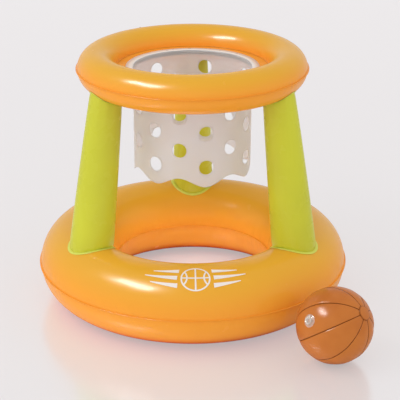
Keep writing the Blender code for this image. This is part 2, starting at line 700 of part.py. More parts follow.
def ball():
    """The small ball beside the hoop: its panels, two pole patches and its valve."""
    tilt, rest_height = rest_facet()
    holder = empty("ball", (HOOP_X + BALL_X, HOOP_Y + BALL_Y, rest_height))
    holder.rotation_euler = (0, math.pi - tilt, math.radians(BALL_POLE_HEADING))
    panel = panel_mesh()
    pieces = []
    turns = [math.radians(BALL_ROLL) + math.tau * index / BALL_PANELS for index in range(BALL_PANELS)]
    for index, turn in enumerate(turns):
        piece = place("ball_panel_%d" % (index + 1), panel, holder, BALL_BROWN)
        piece.rotation_euler.z = turn
        thicken(piece, SKIN)
        pieces.append(piece)
    place("ball_upper_patch", pole_patch_mesh(1), holder, BALL_BROWN)
    place("ball_lower_patch", pole_patch_mesh(-1), holder, BALL_BROWN)
    polar = math.radians(BALL_VALVE_POLAR_ANGLE)
    turn = turns[BALL_VALVE_PANEL - 1]
    normal = Vector((math.sin(polar) * math.cos(turn), math.sin(polar) * math.sin(turn), math.cos(polar)))
    uphill = holder.rotation_euler.to_matrix().inverted() @ Vector((0, 0, 1))
    seat = frame_matrix(normal * BALL_RADIUS, normal, uphill)
    cut(pieces[BALL_VALVE_PANEL - 1], rod(VALVE_STEM_DIAMETER / 2 + VALVE_STEM_CLEAR), [seat], holder)
    valve("ball_valve", holder, seat, ball_distance)


def main():
    clear_scene()
    hoop = empty("hoop", (HOOP_X, HOOP_Y, 0))
    base_ring(hoop)
    top_ring(hoop)
    columns(hoop)
    ball()


if __name__ == "__main__":
    main()
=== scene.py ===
import json
import math

import bmesh
import bpy
from bpy.props import FloatProperty, FloatVectorProperty, IntProperty, PointerProperty
from mathutils import Euler, Matrix, Vector, noise


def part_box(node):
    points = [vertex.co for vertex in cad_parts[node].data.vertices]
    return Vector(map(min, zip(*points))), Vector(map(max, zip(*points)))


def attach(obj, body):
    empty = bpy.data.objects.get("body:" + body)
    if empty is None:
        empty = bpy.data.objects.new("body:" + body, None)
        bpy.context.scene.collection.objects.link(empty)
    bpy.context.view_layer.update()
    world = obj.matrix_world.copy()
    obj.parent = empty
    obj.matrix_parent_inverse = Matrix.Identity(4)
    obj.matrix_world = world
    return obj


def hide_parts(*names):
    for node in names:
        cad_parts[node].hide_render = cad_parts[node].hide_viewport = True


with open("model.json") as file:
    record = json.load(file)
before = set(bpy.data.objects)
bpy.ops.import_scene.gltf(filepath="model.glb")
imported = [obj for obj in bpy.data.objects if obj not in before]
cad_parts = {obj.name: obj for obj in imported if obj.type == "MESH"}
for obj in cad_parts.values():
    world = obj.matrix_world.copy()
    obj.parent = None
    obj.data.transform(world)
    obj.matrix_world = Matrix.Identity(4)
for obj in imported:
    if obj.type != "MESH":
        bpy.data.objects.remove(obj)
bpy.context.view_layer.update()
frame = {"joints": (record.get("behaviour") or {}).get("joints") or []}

bl_info = {
    "name": "Pool Basketball Hoop",
    "version": (1, 0, 0),
    "blender": (4, 5, 0),
    "location": "View3D > Sidebar > Hoop",
    "description": "Dresses an inflatable hoop in glossy vinyl, with its net, ball and valves",
    "category": "Object",
}

BASE_LOW, BASE_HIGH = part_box("base_ring_upper_skin")
TOP_LOW, TOP_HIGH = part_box("top_ring_upper_skin")
PATCH_BOXES = [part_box("ball_%s_patch" % side) for side in ("upper", "lower")]
JOINTS = {joint["name"]: joint for joint in frame["joints"]}
COLUMN_TURNS = {"back": 0.0, "left": 120.0, "right": -120.0}  # degrees from the back
VALVES = {"base_valve": "hoop", "top_valve": "hoop", "ball_valve": "ball"}  # and the body of each
UP = Vector((0, 0, 1))

# Gaps and laps, in metres
CLEAR = 0.0003  # between sheets that touch
WELD_CLEAR = 0.001  # from a ring's tube to a column's weld rim
FOOT_CLEAR = 0.0011  # from the base tube to the lower end of a column's wall
HEAD_CLEAR = 0.0014  # from the top tube to the upper end of a column's wall
FOOT_WELD_INSIDE = 0.004  # how far the weld rim runs in under the column's wall
NECK_WELD_INSIDE = 0.003
WEB_CLEAR = 0.0011  # from the net to the inner edge of the web
PATCH_LAP = 0.003  # of a pole patch over the ends of the ball's panels

# Valve sizes in metres, with heights above the skin while the stem is pushed in
FLANGE_RADIUS = 0.013
FLANGE_LOW = 0.0005
FLANGE_TOP = 0.0013
FLANGE_STEP = 0.0002  # how much lower the flange's outer band lies
FLANGE_STEP_RADIUS = 0.0085
FLANGE_STEP_SLOPE = 0.0003
FLANGE_BAND_RADIUS = 0.0112  # where the outer band starts to thin
FLANGE_EDGE = 0.0005  # width of the rounded edge
FLANGE_THIN = 0.0001
BORE_RADIUS = 0.0045
STEM_RADIUS = 0.006
RIM_RADIUS = 0.008
RIM_LOW = 0.0016
RIM_TOP = 0.0031
EAR_REACH = 0.001  # how far the rim's ear runs past the plug's hinge
LIP_RADIUS = 0.00725
LIP_TOP = -0.015
STEM_BOTTOM = -0.0165
HINGE_REACH = 0.0095  # from the stem's axis to the plug's hinge
HINGE_HEIGHT = 0.00415
PLUG_RADIUS = 0.0075
PLUG_HALF = 0.00075  # half of the thickness of the plug's head
SHANK_LENGTH = 0.0053
GRIP_INSIDE = 0.0046  # radius of the raised ring on the plug's head
GRIP_OUTSIDE = 0.006
GRIP_HEIGHT = 0.0005
GRIP_SLOPE = 0.0004
STRAP_HALF = 0.002  # half of the strap's width
FLAP_HALF = 0.0003  # half of the flap's thickness
FLAP_HEIGHT = -0.0171
VALVE_STEPS = 48

# Mesh steps
RING_STEPS = {"base": (384, 36), "top": (320, 28)}  # round the ring, and from seam to seam
COLUMN_STEPS = 96
COLUMN_ROWS = 60
WEB_STEPS = 160
WEB_ROWS = 8
BORDER_STEPS = 224
NET_LOBE_STEPS = 16  # across one scallop
NET_ROW_STEPS = 5  # from one row of holes to the next
NET_EDGE_STEPS = 3  # from the last row's mesh down to the scallops' edge
PANEL_STEPS = 14
PANEL_ROWS = 44
PATCH_STEPS = 72
PATCH_ROWS = 18
FLANGE_STEPS = 64
FLOOR_STEPS = 96
LANDING_TRIES = 60
LANDING_TOLERANCE = 1e-7
MERGE_DISTANCE = 1e-6
SHARP_ANGLE = 40.0


def colour(code):
    """The linear colour of an sRGB hex code."""
    shares = [int(code[start:start + 2], 16) / 255 for start in (0, 2, 4)]
    return [share / 12.92 if share <= 0.04045 else ((share + 0.055) / 1.055) ** 2.4 for share in shares]


def length(name, description, default):
    return FloatProperty(name=name, description=description, default=default, unit="LENGTH")


def angle(name, description, degrees):
    return FloatProperty(name=name, description=description, default=math.radians(degrees), subtype="ANGLE")


def power(name, description, default):
    return FloatProperty(name=name, description=description, default=default, min=0.0, unit="POWER")


def count(name, description, default, least):
    return IntProperty(name=name, description=description, default=default, min=least)


def paint(name, description, code):
    return FloatVectorProperty(name=name, description=description, default=colour(code), subtype="COLOR",
                               size=3, min=0.0, max=1.0)


class RingSizes(bpy.types.PropertyGroup):
    base_tube: length("Base tube", "Diameter of the base ring's tube", 0.164)
    top_tube: length("Top tube", "Diameter of the top ring's tube", 0.0786)
    seam: length("Seam", "Width of the flat welded seam", 0.003)
    sheet: length("Sheet", "Thickness of the vinyl", 0.0005)
    base_pucker: length("Base pucker", "Depth of the puckers along the base ring's seams", 0.0009)
    top_pucker: length("Top pucker", "Depth of the puckers along the top ring's seams", 0.0006)


class ColumnSizes(bpy.types.PropertyGroup):
    foot: length("Foot", "Diameter at the base ring", 0.093)
    neck: length("Neck", "Diameter where the axis meets the top ring", 0.068)
    foot_inset: length("Foot inset", "How far inside the top of the base tube the foot stands", 0.00572)
    aim_inset: length("Aim inset", "How far inside the top tube's middle the axis points", 0.003)
    belly: length("Belly", "How far the sides swell", 0.0005)
    tuck: length("Tuck", "How far the foot draws in above its weld", 0.0022)
    foot_weld: length("Foot weld", "Width of the weld rim outside the foot", 0.0045)
    neck_weld: length("Neck weld", "Width of the weld rim outside the neck", 0.003)


class NetSizes(bpy.types.PropertyGroup):
    diameter: length("Diameter", "Diameter of the net", 0.250)
    sheet: length("Sheet", "Thickness of the net's sheet", 0.0004)
    hole: length("Hole", "Diameter of a hole", 0.030)
    row_spacing: length("Row spacing", "Height from one row of holes to the next", 0.0365)
    rows: count("Rows", "Rows of holes", 5, 1)
    lobes: count("Lobes", "Scallops along the lower edge", 7, 3)
    lobe_reach: length("Lobe reach", "From the last row of holes to a scallop's tip", 0.0435)
    lobe_depth: length("Lobe depth", "Height of a scallop", 0.019)
    turn: angle("Turn", "Angle of the first scallop right of the front", 13)
    wave: length("Wave", "How far the hanging edge sways in and out", 0.0014)


class BallSizes(bpy.types.PropertyGroup):
    diameter: length("Diameter", "Diameter of the ball", 0.155)
    cap: length("Cap", "Diameter of the round patch at each pole", 0.030)
    panels: count("Panels", "Panels around the ball", 8, 3)
    roll: angle("Roll", "Turn of the first panel about the poles", 15)
    crease: length("Crease", "Depth of the crease along a seam", 0.0007)
    line: length("Line", "Width of the printed line along a seam", 0.0016)


class PrintSizes(bpy.types.PropertyGroup):
    width: length("Width", "Width of the white print on the base ring", 0.206)
    height: length("Height", "Height of the white print along the vinyl", 0.060)
    line: length("Line", "Width of the sign's lines", 0.0032)
    tilt: angle("Tilt", "Angle of the print's middle above the base ring's outer seam", 63.5)
    turn: angle("Turn", "Angle of the print's middle right of the front", 1.0313)


class StageSettings(bpy.types.PropertyGroup):
    floor_radius: length("Floor radius", "Radius of the floor", 9.0)
    daylight: FloatProperty(name="Daylight", description="Strength of the light from all sides", default=0.7)
    key: power("Key", "Power of the large lamp at the upper left", 7)
    shine: power("Shine", "Power of the lamp that makes only the highlights", 165)
    fill: power("Fill", "Power of the broad lamp in front", 16)
    side: power("Side", "Power of each lamp at a side", 8)
    hole: power("Hole", "Power of the lamp over the base ring's hole", 0.26)
    lens: FloatProperty(name="Lens", description="Focal length in millimetres", default=126.0, min=1.0)
    camera_distance: length("Camera distance", "From the hoop's axis to the camera", 2.83)
    camera_height: length("Camera height", "From the floor up to the camera", 1.315)


class VinylColours(bpy.types.PropertyGroup):
    # Painted light: orange and shaded orange are lit and shaded copies of the rings' vinyl
    orange: paint("Orange", "Upper side of the rings", "EEB236")
    shaded_orange: paint("Shaded orange", "Inner and lower sides of the rings", "FBA638")
    # Painted shade along the base ring's bottom, where it meets the floor
    contact_shade_orange: paint("Contact shade orange", "Strip that the base ring stands on", "F2601C")
    green: paint("Green", "Columns", "D4D63E")
    deep_green: paint("Deep green", "Broad darker patches of the columns", "C8C940")
    weld_green: paint("Weld green", "Weld rims of the columns", "DFE56A")
    net: paint("Net", "Translucent sheet of the net", "F1EDF2")
    border: paint("Border", "White border of the net, and the print", "F5EFE8")
    ball: paint("Ball", "Sheet of the ball", "CC7A38")
    deep_ball: paint("Deep ball", "Broad darker patches of the ball", "BF6C30")
    line: paint("Line", "Printed lines of the ball", "85461B")
    clear: paint("Clear", "Clear vinyl of the valves", "EDE9E2")
    floor: paint("Floor", "Floor and backdrop", "E9E6E7")
    deep_floor: paint("Deep floor", "Broad darker patches of the floor", "DEDBDD")


GROUPS = {"hoop_rings": RingSizes, "hoop_columns": ColumnSizes, "hoop_net": NetSizes, "hoop_ball": BallSizes,
          "hoop_print": PrintSizes, "hoop_colours": VinylColours, "hoop_stage": StageSettings}


# Shader building

class Signal:
    """A shader socket whose maths is written as Python expressions."""

    def __init__(self, shading, socket):
        self.shading = shading
        self.socket = socket

    def maths(self, operation, *others):
        inputs = dict(enumerate((self,) + others))
        return self.shading.node("ShaderNodeMath", {"operation": operation}, inputs)

    def __add__(self, other):
        return self.maths("ADD", other)

    __radd__ = __add__

    def __sub__(self, other):
        return self.maths("SUBTRACT", other)

    def __rsub__(self, other):
        return self.shading.node("ShaderNodeMath", {"operation": "SUBTRACT"}, {0: other, 1: self})

    def __mul__(self, other):
        return self.maths("MULTIPLY", other)

    __rmul__ = __mul__

    def __truediv__(self, other):
        return self.maths("DIVIDE", other)

    def __abs__(self):
        return self.maths("ABSOLUTE")

    def root(self):
        return self.maths("SQRT")

    def fade(self, start, end):
        """1 where the signal is at start or beyond, sliding smoothly to 0 at end."""
        inputs = {"Value": self, "From Min": start, "From Max": end, "To Min": 1.0, "To Max": 0.0}
        return self.shading.node("ShaderNodeMapRange", {"interpolation_type": "SMOOTHSTEP"}, inputs)


class Shading:
    """A node tree under construction, whose nodes take signals and constants."""

    def __init__(self, tree):
        self.tree = tree

    def put(self, socket, value):
        if isinstance(value, Signal):
            self.tree.links.new(value.socket, socket)
        elif socket.type == "RGBA":
            socket.default_value = (*value, 1.0)
        else:
            socket.default_value = value

    def node(self, kind, settings, inputs, output=0):
        made = self.tree.nodes.new(kind)
        for key, value in settings.items():
            setattr(made, key, value)
        for key, value in inputs.items():
            self.put(made.inputs[key], value)
        return Signal(self, made.outputs[output])

    def place(self, centre=(0, 0, 0), turn=(0, 0, 0)):
        """Object coordinates seen from a centre and turn of the part."""
        spot = self.node("ShaderNodeTexCoord", {}, {}, "Object")
        return self.node("ShaderNodeMapping", {"vector_type": "TEXTURE"},
                         {"Vector": spot, "Location": centre, "Rotation": turn})

    def parts(self, vector):
        split = self.tree.nodes.new("ShaderNodeSeparateXYZ")
        self.put(split.inputs[0], vector)
        return [Signal(self, socket) for socket in split.outputs]

    def joined(self, x, y, z):
        return self.node("ShaderNodeCombineXYZ", {}, {0: x, 1: y, 2: z})

    def cloud(self, vector, scale):
        return self.node("ShaderNodeTexNoise", {}, {"Vector": vector, "Scale": scale, "Detail": 2.0})

    def mix(self, factor, low, high):
        made = self.tree.nodes.new("ShaderNodeMix")
        made.data_type = "RGBA"
        for identifier, value in (("Factor_Float", factor), ("A_Color", low), ("B_Color", high)):
            socket = next(socket for socket in made.inputs if socket.identifier == identifier)
            self.put(socket, value)
        result = next(socket for socket in made.outputs if socket.identifier == "Result_Color")
        return Signal(self, result)


class Finish(Shading):
    """A material with a Principled shader."""

    def __init__(self, name, constants):
        self.material = bpy.data.materials.new(name)
        self.material.use_nodes = True
        super().__init__(self.material.node_tree)
        self.inputs = self.tree.nodes["Principled BSDF"].inputs
        for key, value in constants.items():
            self.put(self.inputs[key], value)

    def surface(self, base, roughness, relief, relief_depth):
        """Gives the shader its colour, roughness and bumps, and hands the material over."""
        bump = self.node("ShaderNodeBump", {}, {"Height": relief, "Distance": relief_depth}, "Normal")
        for key, value in (("Base Color", base), ("Roughness", roughness), ("Normal", bump)):
            self.put(self.inputs[key], value)
        return self.material


VINYL = {"IOR": 1.5, "Specular IOR Level": 0.15, "Coat Weight": 0.05, "Coat Roughness": 0.1}
NET_VINYL = {"Sheen Weight": 0.4, "Sheen Roughness": 0.5, "Alpha": 0.76, "Subsurface Weight": 1.0,
             "Subsurface Radius": (1.0, 0.94, 0.9), "Subsurface Scale": 0.003}
BALL_VINYL = {"Specular IOR Level": 0.1, "Coat Weight": 0.02}
CLEAR_VINYL = {"Specular IOR Level": 0.6, "Coat Weight": 0.5, "Alpha": 0.38}
FLOOR = {"Roughness": 0.2, "IOR": 2.0, "Specular IOR Level": 0.8, "Emission Strength": 0.5}
BLACK = (0.0, 0.0, 0.0)
GRAIN = 750.0  # scale of the finest bumps of the inflated vinyl


def vinyl(name, more=None):
    return Finish(name, {**VINYL, **(more or {})})


def ring_finish(name, centre, major, minor):
    """Orange vinyl with painted shade: yellower on top of the tube as if lit and redder below its middle,
    plus painted shade along the base ring's bottom; with soft ripples and seam puckers.
    """
    tints = bpy.context.scene.hoop_colours
    made = vinyl(name)
    spot = made.place(centre)
    x, y, z = made.parts(spot)
    reach = (x * x + y * y).root()
    blotches = made.cloud(spot, scale=5.0) * 0.08 - 0.02
    # Painted shade: orange on the upper side of the tube, turning to shaded orange below its middle
    depth = z.fade(minor * 0.05, minor * 0.95) * 0.96
    base = made.mix(depth + blotches, tuple(tints.orange), tuple(tints.shaded_orange))
    if name.startswith("base"):
        # Painted shade: deep red-orange painted along the base ring's bottom, where it meets the floor
        foot = z.fade(minor * -0.92, minor * -0.54)
        base = made.mix(foot, base, tuple(tints.contact_shade_orange))
    stripe_scale = major * 120.0
    around = made.joined(x / reach * stripe_scale, y / reach * stripe_scale, z * 12.0)
    near_seam = abs(z).fade(minor * 0.05, minor * 0.45) * made.cloud(spot, scale=14.0).fade(0.62, 0.4)
    puckers = made.cloud(around, scale=1.0) * near_seam
    relief = puckers * 1.5 + made.cloud(spot, scale=9.0) * 1.1 + made.cloud(spot, GRAIN) * 0.015
    roughness = made.cloud(spot, scale=26.0) * 0.1 + 0.2
    return made.surface(base, roughness, relief, relief_depth=0.0014)


def column_finish():
    """Green vinyl with broad darker patches and long upright folds."""
    tints = bpy.context.scene.hoop_colours
    made = vinyl("column_vinyl")
    spot = made.place()
    patches = made.cloud(spot, scale=7.0).fade(0.7, 0.3) * 0.6
    base = made.mix(patches, tuple(tints.green), tuple(tints.deep_green))
    drawn_out = made.node("ShaderNodeMapping", {}, {"Vector": spot, "Scale": (38.0, 38.0, 5.0)})
    folds = made.cloud(drawn_out, scale=1.0) * 0.8
    relief = folds + made.cloud(spot, scale=12.0) * 0.6 + made.cloud(spot, GRAIN) * 0.015
    roughness = made.cloud(spot, scale=26.0) * 0.1 + 0.22
    return made.surface(base, roughness, relief, relief_depth=0.0012)


def weld_finish():
    """Pressed green weld, paler than the sheet."""
    tints = bpy.context.scene.hoop_colours
    made = vinyl("weld_vinyl")
    spot = made.place()
    base = made.mix(made.cloud(spot, scale=60.0) * 0.35, tuple(tints.weld_green), tuple(tints.green))
    roughness = made.cloud(spot, scale=90.0) * 0.15 + 0.25
    return made.surface(base, roughness, made.cloud(spot, scale=420.0), relief_depth=0.0002)


def net_finish():
    """Frosted sheet, a little pinkish, with fine pressed grain and soft waves."""
    tints = bpy.context.scene.hoop_colours
    made = vinyl("net_vinyl", NET_VINYL)
    spot = made.place()
    base = made.mix(made.cloud(spot, scale=14.0) * 0.5, tuple(tints.net), tuple(tints.border))
    relief = made.cloud(spot, scale=16.0) + made.cloud(spot, scale=900.0) * 0.05
    roughness = made.cloud(spot, scale=40.0) * 0.15 + 0.3
    return made.surface(base, roughness, relief, relief_depth=0.0012)


def white_finish(name):
    """Plain white vinyl, of the net's border and the print."""
    tints = bpy.context.scene.hoop_colours
    made = vinyl(name)
    spot = made.place()
    base = made.mix(made.cloud(spot, scale=30.0) * 0.12, tuple(tints.border), tuple(tints.net))
    roughness = made.cloud(spot, scale=60.0) * 0.1 + 0.24
    return made.surface(base, roughness, made.cloud(spot, scale=500.0), relief_depth=0.0001)


def clear_finish():
    """See-through moulded vinyl of the valves."""
    tints = bpy.context.scene.hoop_colours
    made = vinyl("valve_vinyl", CLEAR_VINYL)
    spot = made.place()
    base = made.mix(made.cloud(spot, scale=120.0) * 0.4, tuple(tints.clear), tuple(tints.border))
    roughness = made.cloud(spot, scale=200.0) * 0.1 + 0.18
    return made.surface(base, roughness, made.cloud(spot, scale=700.0), relief_depth=0.0001)


def ball_finish(centre, turn):
    """Brown-orange vinyl with a dark printed line on each seam and round each pole."""
    scene = bpy.context.scene
    tints, ball = scene.hoop_colours, scene.hoop_ball
    made = vinyl("ball_vinyl", BALL_VINYL)
    x, y, z = made.parts(made.place(centre, turn))
    spot = made.place()
    reach = (x * x + y * y).root()
    panel = math.tau / ball.panels
    swing = y.maths("ARCTAN2", x) - (ball.roll + panel / 2)
    to_seam = swing.maths("PINGPONG", panel / 2) * reach
    cap_height = math.sqrt(ball.diameter ** 2 - ball.cap ** 2) / 2
    past_cap = abs(z) - cap_height
    half = ball.line / 2
    seam_line = to_seam.fade(half * 0.75, half * 1.15) * past_cap.fade(0.0, 0.0004)
    cap_line = abs(past_cap - half).fade(half * 0.4, half * 0.7)
    ink = seam_line.maths("MAXIMUM", cap_line * 0.5)
    patches = made.cloud(spot, scale=16.0).fade(0.62, 0.4) * 0.5
    sheet = made.mix(patches, tuple(tints.ball), tuple(tints.deep_ball))
    base = made.mix(ink, sheet, tuple(tints.line))
    relief = made.cloud(spot, scale=22.0) * 1.1 + made.cloud(spot, GRAIN) * 0.02 - ink * 0.1
    roughness = made.cloud(spot, scale=40.0) * 0.1 + 0.18
    return made.surface(base, roughness, relief, relief_depth=0.0012)


# Mesh building

def piece_of(name, bm, body, material, sheet=None, sharp=SHARP_ANGLE):
    """Makes a piece that rides on its body. A sheet gets its thickness inwards."""
    mesh = bpy.data.meshes.new(name)
    bm.to_mesh(mesh)
    bm.free()
    mesh.shade_smooth()
    mesh.set_sharp_from_angle(angle=math.radians(sharp))
    mesh.materials.append(material)
    piece = bpy.data.objects.new(name, mesh)
    bpy.context.scene.collection.objects.link(piece)
    if sheet:
        wall = piece.modifiers.new("sheet", "SOLIDIFY")
        wall.thickness = sheet
        wall.offset = -1.0
    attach(piece, body)
    return piece


def stand_in(node, bm, body, material, sheet=None, sharp=SHARP_ANGLE):
    """Makes the piece that is seen in place of a solid."""
    piece = piece_of(node + "_vinyl", bm, body, material, sheet, sharp)
    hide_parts(node)
    return piece


def outward(bm, centre=None, ring_radius=None):
    """Merges doubles and turns every face away from the tube or centre that it wraps."""
    bmesh.ops.remove_doubles(bm, verts=bm.verts, dist=MERGE_DISTANCE)
    bmesh.ops.recalc_face_normals(bm, faces=bm.faces)
    if centre is None:
        return
    total = 0.0
    for face in bm.faces:
        middle = face.calc_center_median() - centre
        if ring_radius:
            flat = Vector((middle.x, middle.y, 0))
            middle = middle - flat.normalized() * ring_radius
        total += middle.dot(face.normal)
    if total < 0:
        bmesh.ops.reverse_faces(bm, faces=bm.faces)


def spun(profile, steps, closed=False):
    """Turns a profile of radii and heights about the Z axis."""
    bm = bmesh.new()
    verts = [bm.verts.new((radius, 0, height)) for radius, height in profile]
    edges = [bm.edges.new(pair) for pair in zip(verts, verts[1:])]
    if closed:
        edges.append(bm.edges.new((verts[-1], verts[0])))
    bmesh.ops.spin(bm, geom=verts + edges, cent=(0, 0, 0), axis=UP, angle=math.tau, steps=steps,
                   use_merge=True)
    return bm


def bridged(loops):
    """Joins loops of points, each a closed ring, into a tube."""
    bm = bmesh.new()
    rings = []
    for loop in loops:
        verts = [bm.verts.new(spot) for spot in loop]
        rings.append([bm.edges.new(pair) for pair in zip(verts, verts[1:] + verts[:1])])
    for low, high in zip(rings, rings[1:]):
        bmesh.ops.bridge_loops(bm, edges=low + high)
    return bm


def circling(x, y, beat, lane):
    """Smooth noise that closes on itself round a circle, at the unit direction x, y."""
    return noise.noise(Vector((x * beat, y * beat, lane)))


def landed(start, direction, gap, clearance):
    """Moves a point along a direction until it has a clearance from a surface."""
    spot = start.copy()
    for _ in range(LANDING_TRIES):
        left = gap(spot) - clearance
        spot += direction * left
        if abs(left) < LANDING_TOLERANCE:
            break
    return spot


# Rings

WELD_ROOT = 0.4  # share of the seam's width that its flat part starts at
SEAM_CROWDING = 0.55  # how much closer the rows stand at the seams
LOWER_GAP = 1.3  # from the middle of a seam to its sheet, in sheet thicknesses
TUBE_LIMIT = 1.004  # in tube radii; points farther out belong to the flat seams
PUCKER_HEIGHT = 0.22  # in tube radii, as is the next
PUCKER_START = 0.06
PUCKER_WAVES = 1.6  # how much deeper the deepest puckers are
OUTER_BEAT = 9.0  # of the puckers along the outer seam
INNER_BEAT = 13.0
OUTER_LANE = 5.0
SWELL = 0.25  # share of the puckers' depth
SWELL_BEAT = 2.0


def hoop_centre(height=0.0):
    middle = (BASE_LOW + BASE_HIGH) / 2
    return Vector((middle.x, middle.y, height))


def ring_facts(which):
    """Centre, major radius and tube radius of a ring, read from its solid's box."""
    sizes = bpy.context.scene.hoop_rings
    low, high = (BASE_LOW, BASE_HIGH) if which == "base" else (TOP_LOW, TOP_HIGH)
    minor = (sizes.base_tube if which == "base" else sizes.top_tube) / 2
    major = (high.x - low.x) / 2 - sizes.seam - minor
    return hoop_centre(high.z - minor), major, minor


def ring_profile(minor, gap, inner_gap, rows):
    """Half a ring's section, from the outer weld over the top to the inner weld."""
    seam = bpy.context.scene.hoop_rings.seam
    start = math.asin(gap / minor)
    end = math.pi - math.asin(inner_gap / minor)
    profile = [(minor + seam, gap), (minor + seam * WELD_ROOT, gap)]
    for row in range(rows + 1):
        share = row / rows
        share = share - math.sin(share * math.tau) / math.tau * SEAM_CROWDING
        turn = start + (end - start) * share
        profile.append((minor * math.cos(turn), minor * math.sin(turn)))
    return profile + [(-minor - seam * WELD_ROOT, inner_gap), (-minor - seam, inner_gap)]


def pucker_ring(bm, major, minor, pucker, side):
    """Draws the tube in along its seams, unevenly, and swells it a little elsewhere."""
    for vert in bm.verts:
        spot = vert.co
        reach = math.hypot(spot.x, spot.y)
        outwards = Vector((spot.x / reach, spot.y / reach, 0))
        across = reach - major
        arm = math.hypot(across, spot.z)
        if arm > minor * TUBE_LIMIT:
            continue
        height = abs(spot.z) / minor
        seam = math.exp(-height / PUCKER_HEIGHT) * min(1.0, height / PUCKER_START)
        beat, lane = (OUTER_BEAT, OUTER_LANE) if across > 0 else (INNER_BEAT, 0.0)
        wave = circling(outwards.x, outwards.y, beat, 2.0 * side + lane)
        slow = circling(outwards.x, outwards.y, SWELL_BEAT, spot.z * 6.0 + 9.0)
        change = -pucker * (seam * (0.5 + wave * PUCKER_WAVES) + SWELL * (0.5 + slow))
        vert.co = spot + (outwards * across + UP * spot.z) / arm * change


def ring_skin(which, side):
    """One half of a ring's tube. The base ring's lower half is pressed flat on the floor."""
    sizes = bpy.context.scene.hoop_rings
    centre, major, minor = ring_facts(which)
    steps, rows = RING_STEPS[which]
    gap = sizes.sheet * LOWER_GAP
    inner_gap = gap if which == "base" else gap + sizes.sheet
    profile = ring_profile(minor, gap, inner_gap, rows)
    bm = spun([(major + across, side * up) for across, up in profile], steps)
    outward(bm, Vector(), major)
    pucker_ring(bm, major, minor, sizes.base_pucker if which == "base" else sizes.top_pucker, side)
    bmesh.ops.translate(bm, verts=bm.verts, vec=centre)
    for vert in bm.verts:
        vert.co.z = max(vert.co.z, 0.0)
    finish = which + "_ring_vinyl"
    material = bpy.data.materials.get(finish) or ring_finish(finish, centre, major, minor)
    node = "%s_ring_%s_skin" % (which, "upper" if side > 0 else "lower")
    stand_in(node, bm, "hoop", material, sizes.sheet, sharp=60.0)


class HOOP_OT_rings(bpy.types.Operator):
    """Make the puckered skins of the base ring and the top ring"""
    bl_idname = "hoop.rings"
    bl_label = "Ring Skins"

    def execute(self, context):
        for which in ("base", "top"):
            for side in (1, -1):
                ring_skin(which, side)
        return {"FINISHED"}


def torus_gap(spot, which):
    """How far a point of the part lies outside a ring's tube."""
    centre, major, minor = ring_facts(which)
    away = spot - centre
    return math.hypot(math.hypot(away.x, away.y) - major, away.z) - minor


def into_torus(spot, which):
    """Direction from a point of the part straight into a ring's tube."""
    centre, major, _ = ring_facts(which)
    around = Vector((spot.x - centre.x, spot.y - centre.y, 0)).normalized() * major
    return (centre + around - spot).normalized()


# Columns

FOOT_TUCK_REACH = 0.0045  # height over which the foot's tuck fades out
FOOT_FOLD = 0.0011  # depth of the uneven folds above the foot's weld
FOOT_FOLD_REACH = 0.016
FOOT_BEAT = 4.5
HEAD_TUCK = 0.5  # share of the foot's tuck
HEAD_TUCK_REACH = 0.003
HEAD_FOLD = 0.0012
HEAD_FOLD_REACH = 0.03
HEAD_BEAT = 3.5
HEAD_LANE = 7.0
WELD_WOBBLE = 0.0006
WELD_BEAT = 5
WELD_BEND = 0.6  # share of a weld rim's width at its middle loop


def column_axis(turn):
    """Foot, unit direction, sideways vector and length of a column's axis."""
    sizes = bpy.context.scene.hoop_columns
    base, base_major, base_minor = ring_facts("base")
    top, top_major, _ = ring_facts("top")
    spin = Matrix.Rotation(math.radians(turn), 3, "Z")
    rise = math.sqrt(base_minor ** 2 - sizes.foot_inset ** 2)
    foot = base + spin @ Vector((0, base_major - sizes.foot_inset, rise))
    aim = top + spin @ Vector((0, top_major - sizes.aim_inset, 0))
    axis = (aim - foot).normalized()
    reach = (landed(foot, axis, lambda spot: torus_gap(spot, "top"), 0) - foot).length
    return foot, axis, spin @ Vector((1, 0, 0)), reach


def column_ends(turn):
    """Round a column: its angle, its outward direction and where its wall meets the two rings."""
    sizes = bpy.context.scene.hoop_columns
    foot, axis, side, reach = column_axis(turn)
    depth = axis.cross(side)
    ends = []
    for step in range(COLUMN_STEPS):
        swing = math.tau * step / COLUMN_STEPS
        out = side * math.cos(swing) + depth * math.sin(swing)
        low = foot + out * sizes.foot / 2
        high = foot + axis * reach + out * sizes.neck / 2
        slope = (high - low).normalized()
        low = landed((low + high) / 2, -slope, lambda spot: torus_gap(spot, "base"), FOOT_CLEAR)
        high = landed((low + high) / 2, slope, lambda spot: torus_gap(spot, "top"), HEAD_CLEAR)
        ends.append((swing, out, low, high))
    return ends


def drawn_in(distance, tuck, tuck_reach, fold, fold_reach):
    """How far a wall draws in at a distance from its weld."""
    return tuck * math.exp(-distance / tuck_reach) + fold * math.exp(-distance / fold_reach)


def column_loops(turn):
    """Rows of points up a column, tucked in a little at both welds."""
    sizes = bpy.context.scene.hoop_columns
    loops = [[] for _ in range(COLUMN_ROWS + 1)]
    for swing, out, low, high in column_ends(turn):
        height = (high - low).length
        foot_fold = FOOT_FOLD * (0.5 + circling(math.cos(swing), math.sin(swing), FOOT_BEAT, turn))
        head_wave = circling(math.cos(swing), math.sin(swing), HEAD_BEAT, turn + HEAD_LANE)
        head_fold = HEAD_FOLD * (0.5 + head_wave)
        for row, loop in enumerate(loops):
            share = (1 - math.cos(math.pi * row / COLUMN_ROWS)) / 2
            swell = sizes.belly * math.sin(math.pi * share)
            swell -= drawn_in(share * height, sizes.tuck, FOOT_TUCK_REACH, foot_fold, FOOT_FOLD_REACH)
            swell -= drawn_in((1 - share) * height, sizes.tuck * HEAD_TUCK, HEAD_TUCK_REACH, head_fold,
                              HEAD_FOLD_REACH)
            loop.append(low.lerp(high, share) + out * swell)
    return loops


